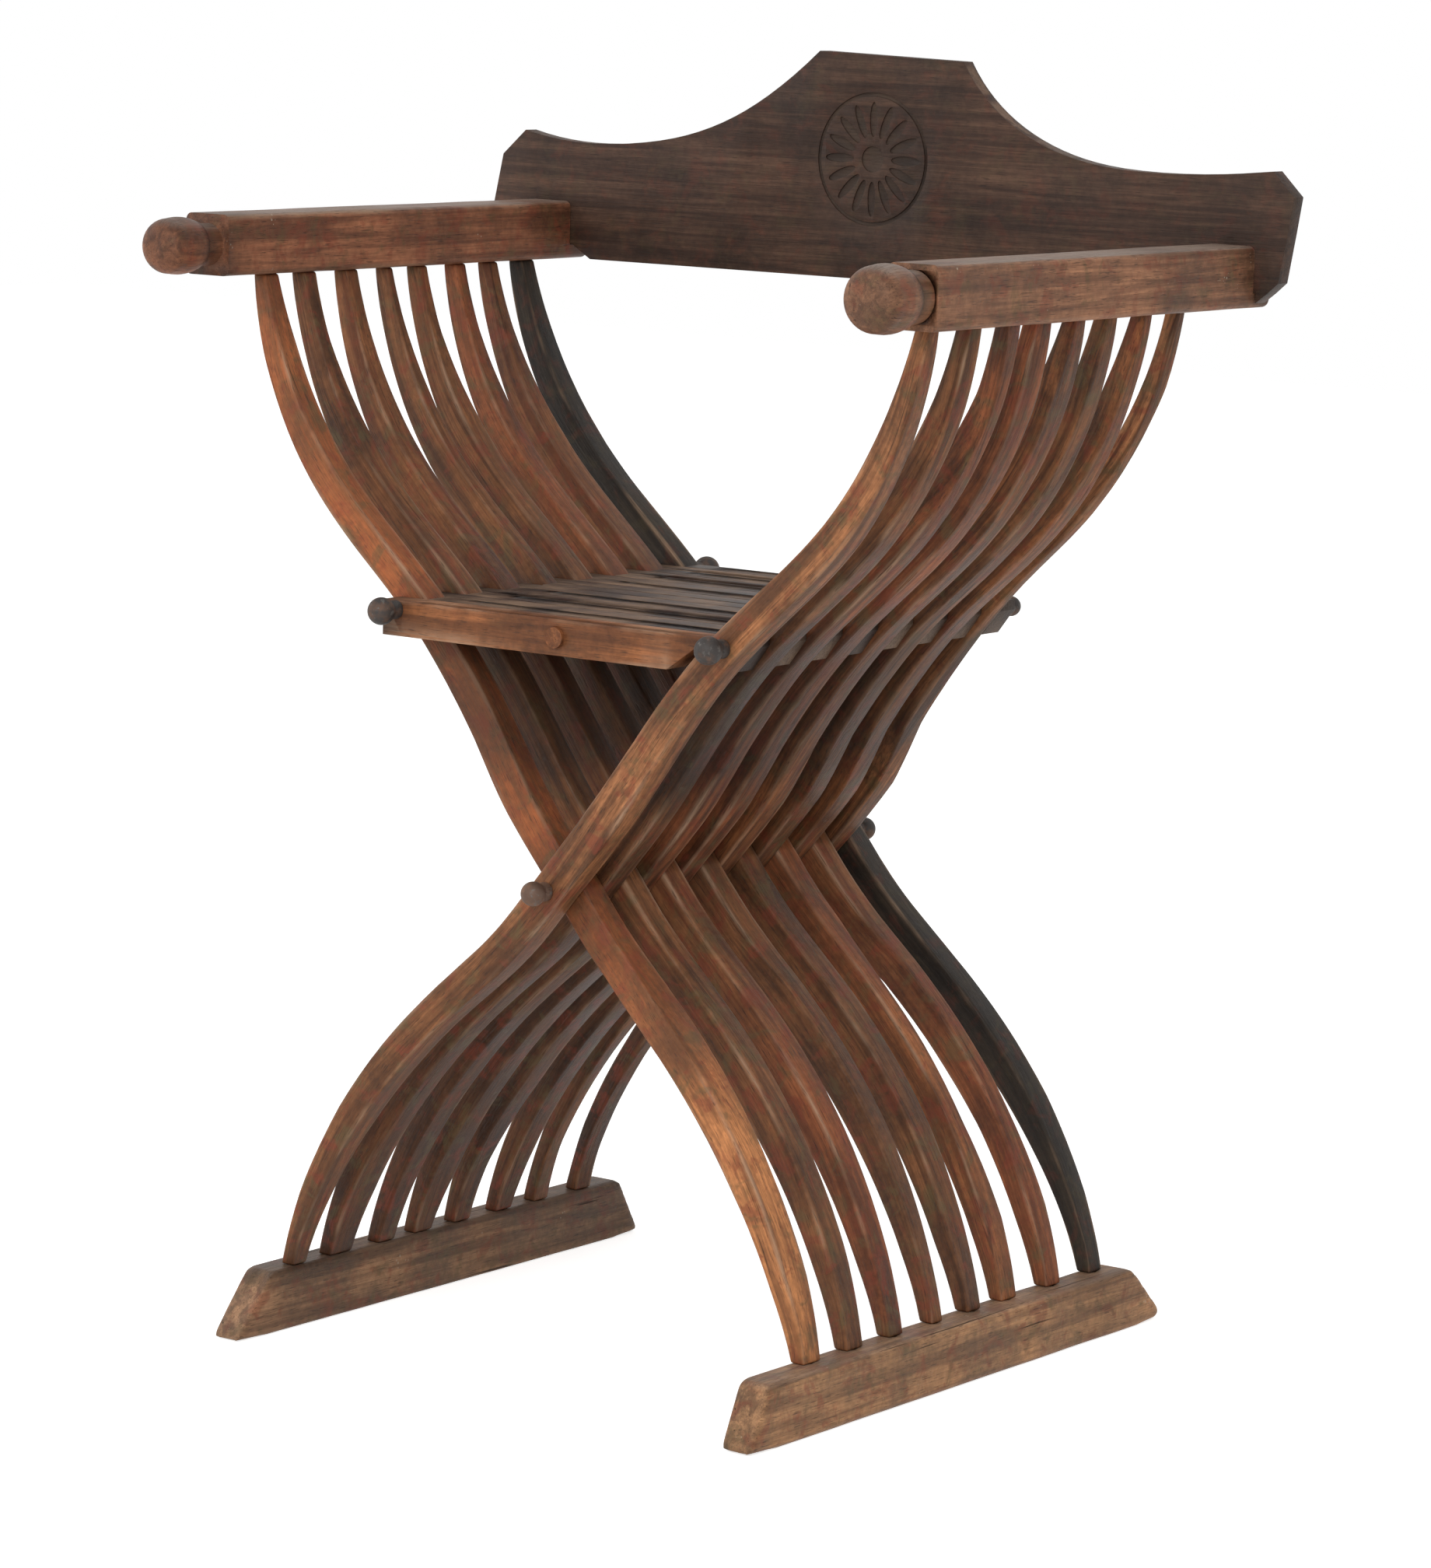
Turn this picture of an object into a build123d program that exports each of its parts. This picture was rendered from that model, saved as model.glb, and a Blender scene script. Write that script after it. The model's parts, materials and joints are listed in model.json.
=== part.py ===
from build123d import *

import math
import os

os.makedirs("parts", exist_ok=True)

# Folding chair of sixteen S-curved staves, in millimetres. +Z is up, the chair faces -Y, and the
# origin lies on the floor under the middle. Left and right are as seen from the front: -X and +X.
LEFT = -1
RIGHT = 1
FRONT = -1
REAR = 1

# Main axes of the frame
PIVOT_Z = 307.5
SEAT_ROD_X = 127.0
SEAT_ROD_Z = 471.0
ARM_UNDERSIDE = 672.5
ARM_ROW_X = 263.0
FOOT_HEIGHT = 40.0
FOOT_ROW_X = 197.0

# Staves lie in sixteen layers from front to rear, those of the right arm before those of the left
PAIRS = 8
LAYERS = 2 * PAIRS
LAYER_GAP = 0.4
CROSS_PITCH = 20.56
SEAT_PITCH = 19.3
FOOT_PITCH = 22.4
SEAT_SHIFT = -5.8
FOOT_SHIFT = -2.4
CROSS_RADIUS = 64.0
SEAT_RADIUS = 117.0
ROD_REACH = 225.0
SPREAD_RADIUS = 110.0
LAYER_REACH = 500.0
RIGHT_FOOT_DRIFT = (-4.0, -1.0, -2.0, -3.0, -4.0, -8.0, -2.0, 7.0)
LEFT_FOOT_DRIFT = (2.5, 3.0, 3.5, 2.0, -2.5, -7.5, -8.0, -5.5)

# Distances from the arm and from the foot at which a stave has its neck and its full thickness
ARM_NECK = 45.0
ARM_TAPER = 125.0
FOOT_NECK = 45.0
FOOT_TAPER = 110.0

# Front and rear face of each stave at its end and at its neck, from the middle of its layer
RIGHT_ARM_ENDS = ((7.5, 4.5), (3.0, 11.0), (0.5, 14.0), (9.0, 9.5),
                  (3.0, 9.0), (6.5, 6.0), (2.5, 7.5), (1.5, 7.0))
RIGHT_ARM_NECKS = ((9.4, 6.0), (3.5, 12.5), (-3.0, 14.5), (9.5, 12.0),
                   (11.0, 11.0), (10.0, 7.0), (7.5, 6.5), (4.0, 9.0))
LEFT_ARM_ENDS = ((7.0, 6.5), (8.5, 5.5), (5.0, 8.5), (1.5, 5.5),
                 (8.0, 3.0), (7.0, 5.0), (10.0, 0.5), (14.5, 1.0))
LEFT_ARM_NECKS = ((9.4, 9.4), (7.5, 4.5), (6.0, 8.5), (1.5, 7.0),
                  (8.0, 3.0), (7.5, 4.5), (9.0, 2.0), (13.0, 4.5))
LEFT_FOOT_ENDS = ((5.0, 8.5), (13.5, 9.0), (10.0, 7.5), (15.5, 2.5),
                  (14.0, 3.0), (9.5, 8.0), (12.0, 4.0), (12.5, 4.0))
LEFT_FOOT_NECKS = ((6.0, 11.5), (14.5, 13.0), (9.0, 10.0), (16.0, 10.0),
                   (16.0, 3.5), (9.0, 12.0), (13.0, 0.5), (15.0, 4.0))
RIGHT_FOOT_ENDS = ((7.0, 11.5), (9.0, 9.0), (7.0, 8.5), (3.5, 8.5),
                   (7.5, 8.0), (9.5, 8.5), (8.0, 9.0), (10.5, 4.5))
RIGHT_FOOT_NECKS = ((8.5, 16.0), (8.5, 12.5), (8.5, 11.0), (4.5, 10.0),
                    (11.0, 9.5), (10.5, 11.0), (10.0, 11.5), (13.0, 5.0))

# Bends of a stave: share of the run in X, share of the run in Z, width across the stave
ARM_END_WIDTH = 9.5
ROD_WIDTH = 21.0
PIVOT_WIDTH = 22.5
FOOT_END_WIDTH = 10.0
BENDS_ROD_TO_ARM = ((0.25, 0.155, 20.5), (0.57, 0.367, 19.5), (0.81, 0.615, 17.0))
BENDS_PIVOT_TO_ROD = ((0.335, 0.32, 23.5), (0.56, 0.575, 23.0))
BENDS_PIVOT_TO_FOOT = ((0.14, 0.124, 22.5), (0.406, 0.306, 21.5), (0.685, 0.532, 19.5),
                       (0.851, 0.722, 15.5), (0.965, 0.91, 11.5))

# Staves that are not even: share of the full width, share of the full thickness, shift in Y
FULL_GIRTH = (1.0, 1.0, 0.0)
GIRTH_ABOVE = {"right_arm_stave_8": (0.7, 0.55, -4.2), "left_arm_stave_4": (1.0, 0.65, 3.3)}
GIRTH_BELOW = {"right_arm_stave_7": (0.85, 0.65, -7.0), "right_arm_stave_8": (0.7, 0.66, -3.6),
               "left_arm_stave_1": (1.0, 1.15, -1.6), "left_arm_stave_4": (1.0, 0.78, 2.4),
               "left_arm_stave_6": (1.0, 0.73, -2.9), "left_arm_stave_7": (1.0, 0.75, 2.7)}

# Tenons of the staves in the arms and feet
TENON_X = 6.5
TENON_Y = 5.5
TENON_LENGTH = 14.0
TENON_CLEARANCE = 0.1

# Rods and their knobs
ROD_DIAMETER = 8.5
RUNNING_CLEARANCE = 0.05
KNOB_GAP = 0.3
KNOB_DIAMETER = 17.5
KNOB_CENTRE = 14.0
KNOB_COLLAR_DIAMETER = 12.0
KNOB_COLLAR = 3.5
KNOB_NECK_DIAMETER = 10.5
KNOB_SOCKET = 11.0
LONG_KNOB_CENTRE = 20.0
BUTTON_DIAMETER = 13.0
BUTTON_CENTRE = 6.5
PIVOT_KNOB_DIAMETER = 15.5
PIVOT_KNOB_CENTRE = 12.0
PIVOT_REAR_KNOB_CENTRE = 16.0
ROD_END_GAP = 0.4

# Seat slats
SLAT_HEIGHT = 22.5
SLAT_DROP = 5.5
LEFT_SLAT_OVERHANG = 10.5
RIGHT_SLAT_OVERHANG = 7.5
RIGHT_SLAT_BEVEL_X = 12.0
RIGHT_SLAT_BEVEL_Z = 16.0
SLAT_TIP_GAP = 1.2
SLAT_TIP_SLOPE = 1.4
SLAT_ROUNDING = 1.2
DOWEL_DIAMETER = 13.0
DOWEL_PROUD = 2.5

# Arms
ARM_WIDTH = 36.0
ARM_HEIGHT = 39.0
ARM_INSET = 7.5
ARM_FRONT_Y = -180.0
ARM_REAR_Y = 196.0
ARM_ROUNDING = 4.5
NECK_LENGTH = 15.0
NECK_DEPTH = 4.5
BUN_LENGTH = 34.5
LEFT_BUN_DIAMETER = 36.0
RIGHT_BUN_DIAMETER = 41.0
BUN_ROUNDING = 13.0
BUN_SHOULDER = 2.5
BUN_BULGE = 0.6
HEAD_ROUNDING = 6.0

# Back board, dropped into a groove near the rear end of each arm
BOARD_THICKNESS = 11.5
BOARD_FRONT_Y = 172.75
BOARD_CLEARANCE = 0.25
BOARD_SEAT_GAP = 0.3
BOARD_BOTTOM = 673.0
GROOVE_FLOOR = 9.5
NOTCH_SIDE = 1.5
NOTCH_FLARE = 16.0
CREST = ((-49.0, 820.5), (64.0, 817.5))
LEFT_SHOULDER = ((-84.0, 793.5), (-115.0, 775.5), (-158.0, 760.0), (-201.0, 753.0), (-245.0, 751.5),
                 (-293.0, 758.0))
RIGHT_SHOULDER = ((96.0, 783.5), (131.0, 765.5), (164.0, 757.0), (205.0, 753.5), (255.0, 754.5),
                  (299.0, 758.5))
LEFT_END = ((-312.0, 741.0), (-320.0, 704.0), (-314.0, 688.0), (-303.0, 682.0))
RIGHT_END = ((315.0, 743.0), (311.5, 721.0), (306.0, 689.0), (298.0, 682.0))
ROSETTE_X = -4.5
ROSETTE_Z = 751.5
ROSETTE_RADIUS = 43.5
ROSETTE_DEPTH = 1.2
ROSETTE_RIM = 2.5
ROSETTE_EYE = 8.5
ROSETTE_RAYS = 16
RAY_CENTRE = 26.0
RAY_LENGTH = 22.5
RAY_WIDTH = 6.0

# Feet
FOOT_WIDTH = 26.0
FOOT_INSET = 5.5
FOOT_EDGE = 2.5
FOOT_CORNER = 8.0
LEFT_FOOT_BOTTOM = (-230.0, 199.0)
LEFT_FOOT_TOP = (-195.0, 173.0)
LEFT_FOOT_HEEL = 1.0
RIGHT_FOOT_BOTTOM = (-232.5, 241.0)
RIGHT_FOOT_TOP = (-213.0, 193.0)
RIGHT_FOOT_HEEL = 4.0
FLUTE_RADIUS = 3.5
FLUTE_DEPTH = 1.5
FLUTES = 3

ARM_RADIUS = math.hypot(ARM_ROW_X, ARM_UNDERSIDE - PIVOT_Z)
FOOT_RADIUS = math.hypot(FOOT_ROW_X, PIVOT_Z - FOOT_HEIGHT)
ARM_CENTRE_X = ARM_ROW_X + ARM_INSET
ARM_CENTRE_Z = ARM_UNDERSIDE + ARM_HEIGHT / 2
FOOT_CENTRE_X = FOOT_ROW_X + FOOT_INSET
GROOVE_Z = ARM_UNDERSIDE + GROOVE_FLOOR
DOWEL_Z = SEAT_ROD_Z - SLAT_DROP
SLAT_TOP = DOWEL_Z + SLAT_HEIGHT / 2
SLAT_BOTTOM = DOWEL_Z - SLAT_HEIGHT / 2
MIDDLE_LAYER = (LAYERS - 1) / 2
HOLE_RADIUS = ROD_DIAMETER / 2 + RUNNING_CLEARANCE


def finish(builder, name):
    """Label a finished sub-part and write its file."""
    builder.part.label = name
    export_step(builder.part, f"parts/{name}.step")


def between(start, end, share):
    return start + (end - start) * share


def seat_layer_y(layer):
    """Middle of a layer in the seat and arm zone, where all layers are parallel."""
    return SEAT_SHIFT + (layer - MIDDLE_LAYER) * SEAT_PITCH


def foot_layer_y(layer, drift):
    return FOOT_SHIFT + (layer - MIDDLE_LAYER) * FOOT_PITCH + drift


def cross_layer_y(layer):
    return (layer - MIDDLE_LAYER) * CROSS_PITCH


SEAT_FRONT_Y = seat_layer_y(0) - SEAT_PITCH / 2
SEAT_REAR_Y = seat_layer_y(LAYERS - 1) + SEAT_PITCH / 2
CROSS_FRONT_Y = cross_layer_y(0) - CROSS_PITCH / 2
CROSS_REAR_Y = cross_layer_y(LAYERS - 1) + CROSS_PITCH / 2


def faced_station(radius, layer_middle, faces):
    """Radius, middle and thickness of a stave whose faces lie unevenly about its layer."""
    front, rear = faces
    return radius, layer_middle + (rear - front) / 2, front + rear


def upper_stations(layer, girth, shift, end_faces, neck_faces):
    """Radius, middle and thickness of a stave above the pivot, outward from it."""
    centre = seat_layer_y(layer)
    cross = CROSS_PITCH - LAYER_GAP
    full = SEAT_PITCH - LAYER_GAP
    return (
        (0.0, cross_layer_y(layer), cross),
        (CROSS_RADIUS, cross_layer_y(layer), cross),
        (SEAT_RADIUS, centre, full),
        (ROD_REACH, centre + shift, full * girth),
        (ARM_RADIUS - ARM_TAPER, centre + shift, full * girth),
        faced_station(ARM_RADIUS - ARM_NECK, centre, neck_faces),
        faced_station(ARM_RADIUS, centre, end_faces),
        faced_station(LAYER_REACH, centre, end_faces),
    )


def lower_stations(layer, drift, girth, shift, end_faces, neck_faces):
    """Radius, middle and thickness of a stave below the pivot; each foot end drifts a little."""
    foot = foot_layer_y(layer, drift)
    cross = CROSS_PITCH - LAYER_GAP
    spread_share = (SPREAD_RADIUS - CROSS_RADIUS) / (FOOT_RADIUS - CROSS_RADIUS)
    spread = between(cross_layer_y(layer), foot_layer_y(layer, 0.0), spread_share)
    full = between(CROSS_PITCH, FOOT_PITCH, spread_share) - LAYER_GAP
    taper_radius = FOOT_RADIUS - FOOT_TAPER
    taper_share = (taper_radius - SPREAD_RADIUS) / (FOOT_RADIUS - SPREAD_RADIUS)
    return (
        (0.0, cross_layer_y(layer), cross),
        (CROSS_RADIUS, cross_layer_y(layer), cross),
        (SPREAD_RADIUS, spread + shift, full * girth),
        (taper_radius, between(spread, foot, taper_share) + shift, full * girth),
        faced_station(FOOT_RADIUS - FOOT_NECK, foot, neck_faces),
        faced_station(FOOT_RADIUS, foot, end_faces),
        faced_station(LAYER_REACH, foot, end_faces),
    )


def layer_outline(stations):
    """Closed outline of one layer as (y, radius) points."""
    front = [(centre - thickness / 2, radius) for radius, centre, thickness in stations]
    rear = [(centre + thickness / 2, radius) for radius, centre, thickness in reversed(stations)]
    return front + rear


def stave_spine(share_above, share_below):
    """Middle of a left arm stave from arm to foot as (x, z, width)."""
    rise = ARM_UNDERSIDE - SEAT_ROD_Z
    lift = SEAT_ROD_Z - PIVOT_Z
    drop = PIVOT_Z - FOOT_HEIGHT
    spine = [(-ARM_ROW_X, ARM_UNDERSIDE, ARM_END_WIDTH)]
    for across, along, width in reversed(BENDS_ROD_TO_ARM):
        spine.append((between(-SEAT_ROD_X, -ARM_ROW_X, across), SEAT_ROD_Z + rise * along,
                      width * share_above))
    spine.append((-SEAT_ROD_X, SEAT_ROD_Z, ROD_WIDTH))
    for across, along, width in reversed(BENDS_PIVOT_TO_ROD):
        spine.append((-SEAT_ROD_X * across, PIVOT_Z + lift * along, width))
    spine.append((0.0, PIVOT_Z, PIVOT_WIDTH))
    for across, along, width in BENDS_PIVOT_TO_FOOT:
        spine.append((FOOT_ROW_X * across, PIVOT_Z - drop * along, width * share_below))
    spine.append((FOOT_ROW_X, FOOT_HEIGHT, FOOT_END_WIDTH))
    return spine


def stave_edge(edge_side, share_above=1.0, share_below=1.0):
    """Points along one edge of a left arm stave, from arm to foot."""
    spine = stave_spine(share_above, share_below)
    points = []
    for index, (x, z, width) in enumerate(spine):
        before = spine[max(index - 1, 0)]
        after = spine[min(index + 1, len(spine) - 1)]
        run_x = after[0] - before[0]
        run_z = after[1] - before[1]
        length = math.hypot(run_x, run_z)
        if index in (0, len(spine) - 1):
            points.append((x + edge_side * width / 2 * length / abs(run_z), z))
        else:
            points.append((x - edge_side * run_z / length * width / 2,
                           z + edge_side * run_x / length * width / 2))
    return points


def inner_edge_x(height):
    """Distance of the inner stave edge from the middle, at a height above the pivot."""
    edge = stave_edge(RIGHT)
    for (x_high, z_high), (x_low, z_low) in zip(edge, edge[1:]):
        if z_low <= height <= z_high:
            return -between(x_low, x_high, (height - z_low) / (z_high - z_low))
    raise ValueError("height lies beyond the stave")


# --- Staves ------------------------------------------------------------------------------------

pivot_point = (0, 0, PIVOT_Z)
layer_plane = Plane(origin=pivot_point, x_dir=(0, 1, 0), z_dir=(0, 0, -1))


def make_stave(arm_side, number):
    """One stave: its S outline cut to the slice that its layer sweeps about the pivot."""
    index = number - 1
    if arm_side == RIGHT:
        layer = 2 * index
        drift = LEFT_FOOT_DRIFT[index]
        arm_faces = (RIGHT_ARM_ENDS[index], RIGHT_ARM_NECKS[index])
        foot_faces = (LEFT_FOOT_ENDS[index], LEFT_FOOT_NECKS[index])
        name = f"right_arm_stave_{number}"
    else:
        layer = 2 * index + 1
        drift = RIGHT_FOOT_DRIFT[index]
        arm_faces = (LEFT_ARM_ENDS[index], LEFT_ARM_NECKS[index])
        foot_faces = (RIGHT_FOOT_ENDS[index], RIGHT_FOOT_NECKS[index])
        name = f"left_arm_stave_{number}"
    width_above, girth_above, shift_above = GIRTH_ABOVE.get(name, FULL_GIRTH)
    width_below, girth_below, shift_below = GIRTH_BELOW.get(name, FULL_GIRTH)
    above = upper_stations(layer, girth_above, shift_above, *arm_faces)
    below = lower_stations(layer, drift, girth_below, shift_below, *foot_faces)
    outer = [(-arm_side * x, z) for x, z in stave_edge(LEFT, width_above, width_below)]
    inner = [(-arm_side * x, z) for x, z in stave_edge(RIGHT, width_above, width_below)]

    with BuildPart() as slice_body:
        with BuildSketch(layer_plane):
            Polygon(*layer_outline(above), align=None)
        revolve(axis=Axis(pivot_point, (0, -1, 0)), revolution_arc=180)
        with BuildSketch(layer_plane):
            Polygon(*layer_outline(below), align=None)
        revolve(axis=Axis(pivot_point, (0, 1, 0)), revolution_arc=180)

    arm_end = (arm_side * ARM_ROW_X, above[-1][1], ARM_UNDERSIDE)
    foot_end = (-arm_side * FOOT_ROW_X, below[-1][1], FOOT_HEIGHT)
    with BuildPart() as stave:
        with BuildSketch(Plane.XZ):
            with BuildLine():
                Spline(*outer)
                Line(outer[-1], inner[-1])
                Spline(*reversed(inner))
                Line(inner[0], outer[0])
            make_face()
        extrude(amount=LAYER_REACH, both=True)
        add(slice_body.part, mode=Mode.INTERSECT)
        with BuildSketch(Plane.XZ):
            with Locations((0, PIVOT_Z), (arm_side * SEAT_ROD_X, SEAT_ROD_Z)):
                Circle(HOLE_RADIUS)
        extrude(amount=LAYER_REACH, both=True, mode=Mode.SUBTRACT)
        with Locations(arm_end):
            Box(TENON_X, TENON_Y, TENON_LENGTH, align=(Align.CENTER, Align.CENTER, Align.MIN))
        with Locations(foot_end):
            Box(TENON_X, TENON_Y, TENON_LENGTH, align=(Align.CENTER, Align.CENTER, Align.MAX))
    finish(stave, name)
    return arm_end, foot_end


arm_tenons = {LEFT: [], RIGHT: []}
foot_tenons = {LEFT: [], RIGHT: []}
for side in (LEFT, RIGHT):
    for stave_number in range(1, PAIRS + 1):
        top, bottom = make_stave(side, stave_number)
        arm_tenons[side].append(top)
        foot_tenons[-side].append(bottom)


# --- Arms --------------------------------------------------------------------------------------

def make_arm(arm_side, bun_diameter, name):
    """Arm rail with a bun in front, a groove for the back board, and a mortise for each stave."""
    centre_x = arm_side * ARM_CENTRE_X
    rail_length = ARM_REAR_Y - ARM_FRONT_Y
    bun_end = NECK_LENGTH + BUN_LENGTH
    bun = bun_diameter / 2
    neck = bun - NECK_DEPTH
    with BuildPart() as arm:
        with Locations((centre_x, ARM_FRONT_Y, ARM_CENTRE_Z)):
            Box(ARM_WIDTH, rail_length, ARM_HEIGHT, align=(Align.CENTER, Align.MIN, Align.CENTER))
        fillet(arm.edges().filter_by(Axis.Y), ARM_ROUNDING)
        rear_face = arm.faces().sort_by(Axis.Y)[-1]
        fillet(rear_face.edges(), HEAD_ROUNDING)
        with BuildSketch(Plane(origin=(centre_x, ARM_FRONT_Y, ARM_CENTRE_Z), x_dir=(1, 0, 0),
                               z_dir=(0, 0, 1))):
            with BuildLine():
                Polyline((0, 0), (neck, 0), (neck, -NECK_LENGTH), (bun - BUN_SHOULDER, -NECK_LENGTH))
                ThreePointArc((bun - BUN_SHOULDER, -NECK_LENGTH),
                              (bun, -between(NECK_LENGTH, bun_end - BUN_ROUNDING, 0.5)),
                              (bun - BUN_BULGE, BUN_ROUNDING - bun_end))
                ThreePointArc((bun - BUN_BULGE, BUN_ROUNDING - bun_end),
                              (bun - BUN_ROUNDING * (1 - math.sqrt(0.5)),
                               BUN_ROUNDING * (1 - math.sqrt(0.5)) - bun_end),
                              (bun - BUN_ROUNDING, -bun_end))
                Polyline((bun - BUN_ROUNDING, -bun_end), (0, -bun_end), (0, 0))
            make_face()
        revolve(axis=Axis((centre_x, 0, ARM_CENTRE_Z), (0, 1, 0)))
        with Locations((centre_x, BOARD_FRONT_Y - BOARD_CLEARANCE, GROOVE_Z)):
            Box(ARM_WIDTH, BOARD_THICKNESS + 2 * BOARD_CLEARANCE, ARM_HEIGHT,
                align=(Align.CENTER, Align.MIN, Align.MIN), mode=Mode.SUBTRACT)
        with Locations(*arm_tenons[arm_side]):
            Box(TENON_X + 2 * TENON_CLEARANCE, TENON_Y + 2 * TENON_CLEARANCE,
                TENON_LENGTH + TENON_CLEARANCE,
                align=(Align.CENTER, Align.CENTER, Align.MIN), mode=Mode.SUBTRACT)
    finish(arm, name)


make_arm(LEFT, LEFT_BUN_DIAMETER, "left_arm")
make_arm(RIGHT, RIGHT_BUN_DIAMETER, "right_arm")


# --- Feet --------------------------------------------------------------------------------------

def make_foot(foot_side, bottom_span, top_span, heel_radius, name):
    """Foot rail with slanted ends, flutes down its front end, and a mortise for each stave."""
    centre_x = foot_side * FOOT_CENTRE_X
    front_slant = math.atan2(top_span[0] - bottom_span[0], FOOT_HEIGHT)
    front_plane = Plane(origin=(centre_x, bottom_span[0], 0), x_dir=(1, 0, 0),
                        z_dir=(0, math.sin(front_slant), math.cos(front_slant)))
    with BuildPart() as foot:
        with BuildSketch(Plane.YZ.offset(centre_x)):
            Polygon((bottom_span[0], 0), (bottom_span[1], 0), (top_span[1], FOOT_HEIGHT),
                    (top_span[0], FOOT_HEIGHT), align=None)
        extrude(amount=FOOT_WIDTH / 2, both=True)
        bottom_face = foot.faces().sort_by(Axis.Z)[0]
        fillet(bottom_face.edges().sort_by(Axis.Y)[-1], heel_radius)
        front_face = foot.faces().sort_by(Axis.Y)[0]
        fillet(front_face.edges().filter_by(Axis.X, reverse=True).sort_by(Axis.X)[0], FOOT_CORNER)
        top_face = foot.faces().sort_by(Axis.Z)[-1]
        chamfer(top_face.edges(), FOOT_EDGE)
        flute_pitch = FOOT_WIDTH / (FLUTES + 1)
        with BuildSketch(front_plane):
            with Locations((0, FLUTE_DEPTH - FLUTE_RADIUS)):
                with GridLocations(flute_pitch, 1, FLUTES, 1):
                    Circle(FLUTE_RADIUS)
        extrude(amount=2 * FOOT_HEIGHT, both=True, mode=Mode.SUBTRACT)
        with Locations(*foot_tenons[foot_side]):
            Box(TENON_X + 2 * TENON_CLEARANCE, TENON_Y + 2 * TENON_CLEARANCE,
                TENON_LENGTH + TENON_CLEARANCE,
                align=(Align.CENTER, Align.CENTER, Align.MAX), mode=Mode.SUBTRACT)
    finish(foot, name)


make_foot(LEFT, LEFT_FOOT_BOTTOM, LEFT_FOOT_TOP, LEFT_FOOT_HEEL, "left_foot")
make_foot(RIGHT, RIGHT_FOOT_BOTTOM, RIGHT_FOOT_TOP, RIGHT_FOOT_HEEL, "right_foot")


# --- Seat slats and the middle dowel -----------------------------------------------------------

SLAT_THICKNESS = SEAT_PITCH - LAYER_GAP
TIP_TOP_X = inner_edge_x(SLAT_TOP) - SLAT_TIP_GAP
TIP_BOTTOM_X = TIP_TOP_X - SLAT_HEIGHT * SLAT_TIP_SLOPE
LEFT_SLAT_END_X = SEAT_ROD_X + LEFT_SLAT_OVERHANG
RIGHT_SLAT_END_X = SEAT_ROD_X + RIGHT_SLAT_OVERHANG
LEFT_SLAT_OUTLINE = [(-LEFT_SLAT_END_X, SLAT_BOTTOM), (TIP_BOTTOM_X, SLAT_BOTTOM),
                     (TIP_TOP_X, SLAT_TOP), (-LEFT_SLAT_END_X, SLAT_TOP)]
RIGHT_SLAT_OUTLINE = [(RIGHT_SLAT_END_X - RIGHT_SLAT_BEVEL_X, SLAT_BOTTOM),
                      (RIGHT_SLAT_END_X, SLAT_BOTTOM + RIGHT_SLAT_BEVEL_Z),
                      (RIGHT_SLAT_END_X, SLAT_TOP), (-TIP_TOP_X, SLAT_TOP),
                      (-TIP_BOTTOM_X, SLAT_BOTTOM)]


def make_slat(rod_side, number):
    """Seat slat that turns on one seat rod and reaches the staves on the other side."""
    if rod_side == LEFT:
        layer = 2 * number - 2
        name = f"left_seat_slat_{number}"
        outline = LEFT_SLAT_OUTLINE
    else:
        layer = 2 * number - 1
        name = f"right_seat_slat_{number}"
        outline = RIGHT_SLAT_OUTLINE
    with BuildPart() as slat:
        with BuildSketch(Plane.XZ.offset(-seat_layer_y(layer))):
            Polygon(*outline, align=None)
        extrude(amount=SLAT_THICKNESS / 2, both=True)
        fillet(slat.faces().sort_by(Axis.Z)[-1].edges().filter_by(Axis.X), SLAT_ROUNDING)
        with BuildSketch(Plane.XZ.offset(-seat_layer_y(layer))):
            with Locations((rod_side * SEAT_ROD_X, SEAT_ROD_Z)):
                Circle(HOLE_RADIUS)
            with Locations((0, DOWEL_Z)):
                Circle(DOWEL_DIAMETER / 2 + RUNNING_CLEARANCE)
        extrude(amount=SLAT_THICKNESS, both=True, mode=Mode.SUBTRACT)
    finish(slat, name)
    return seat_layer_y(layer)


for side, dowel_name in ((LEFT, "middle_dowel_in_left_slats"), (RIGHT, "middle_dowel_in_right_slats")):
    slat_middles = [make_slat(side, slat_number) for slat_number in range(1, PAIRS + 1)]
    with BuildPart() as dowel:
        for middle_y in slat_middles:
            with BuildSketch(Plane.XZ.offset(-middle_y)):
                with Locations((0, DOWEL_Z)):
                    Circle(DOWEL_DIAMETER / 2)
            extrude(amount=SLAT_THICKNESS / 2, both=True)
        if side == LEFT:
            with BuildSketch(Plane.XZ.offset(-slat_middles[0])):
                with Locations((0, DOWEL_Z)):
                    Circle(DOWEL_DIAMETER / 2)
            extrude(amount=SLAT_THICKNESS / 2 + DOWEL_PROUD)
    finish(dowel, dowel_name)


# --- Rods and knobs ----------------------------------------------------------------------------

def make_rod(x, z, front_y, rear_y, name):
    """Iron rod through the staves that ends inside a knob at each end."""
    start = front_y - KNOB_GAP - KNOB_SOCKET + ROD_END_GAP
    end = rear_y + KNOB_GAP + KNOB_SOCKET - ROD_END_GAP
    with BuildPart() as rod:
        with BuildSketch(Plane.XZ.offset(-start)):
            with Locations((x, z)):
                Circle(ROD_DIAMETER / 2)
        extrude(amount=start - end)
    finish(rod, name)


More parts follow.
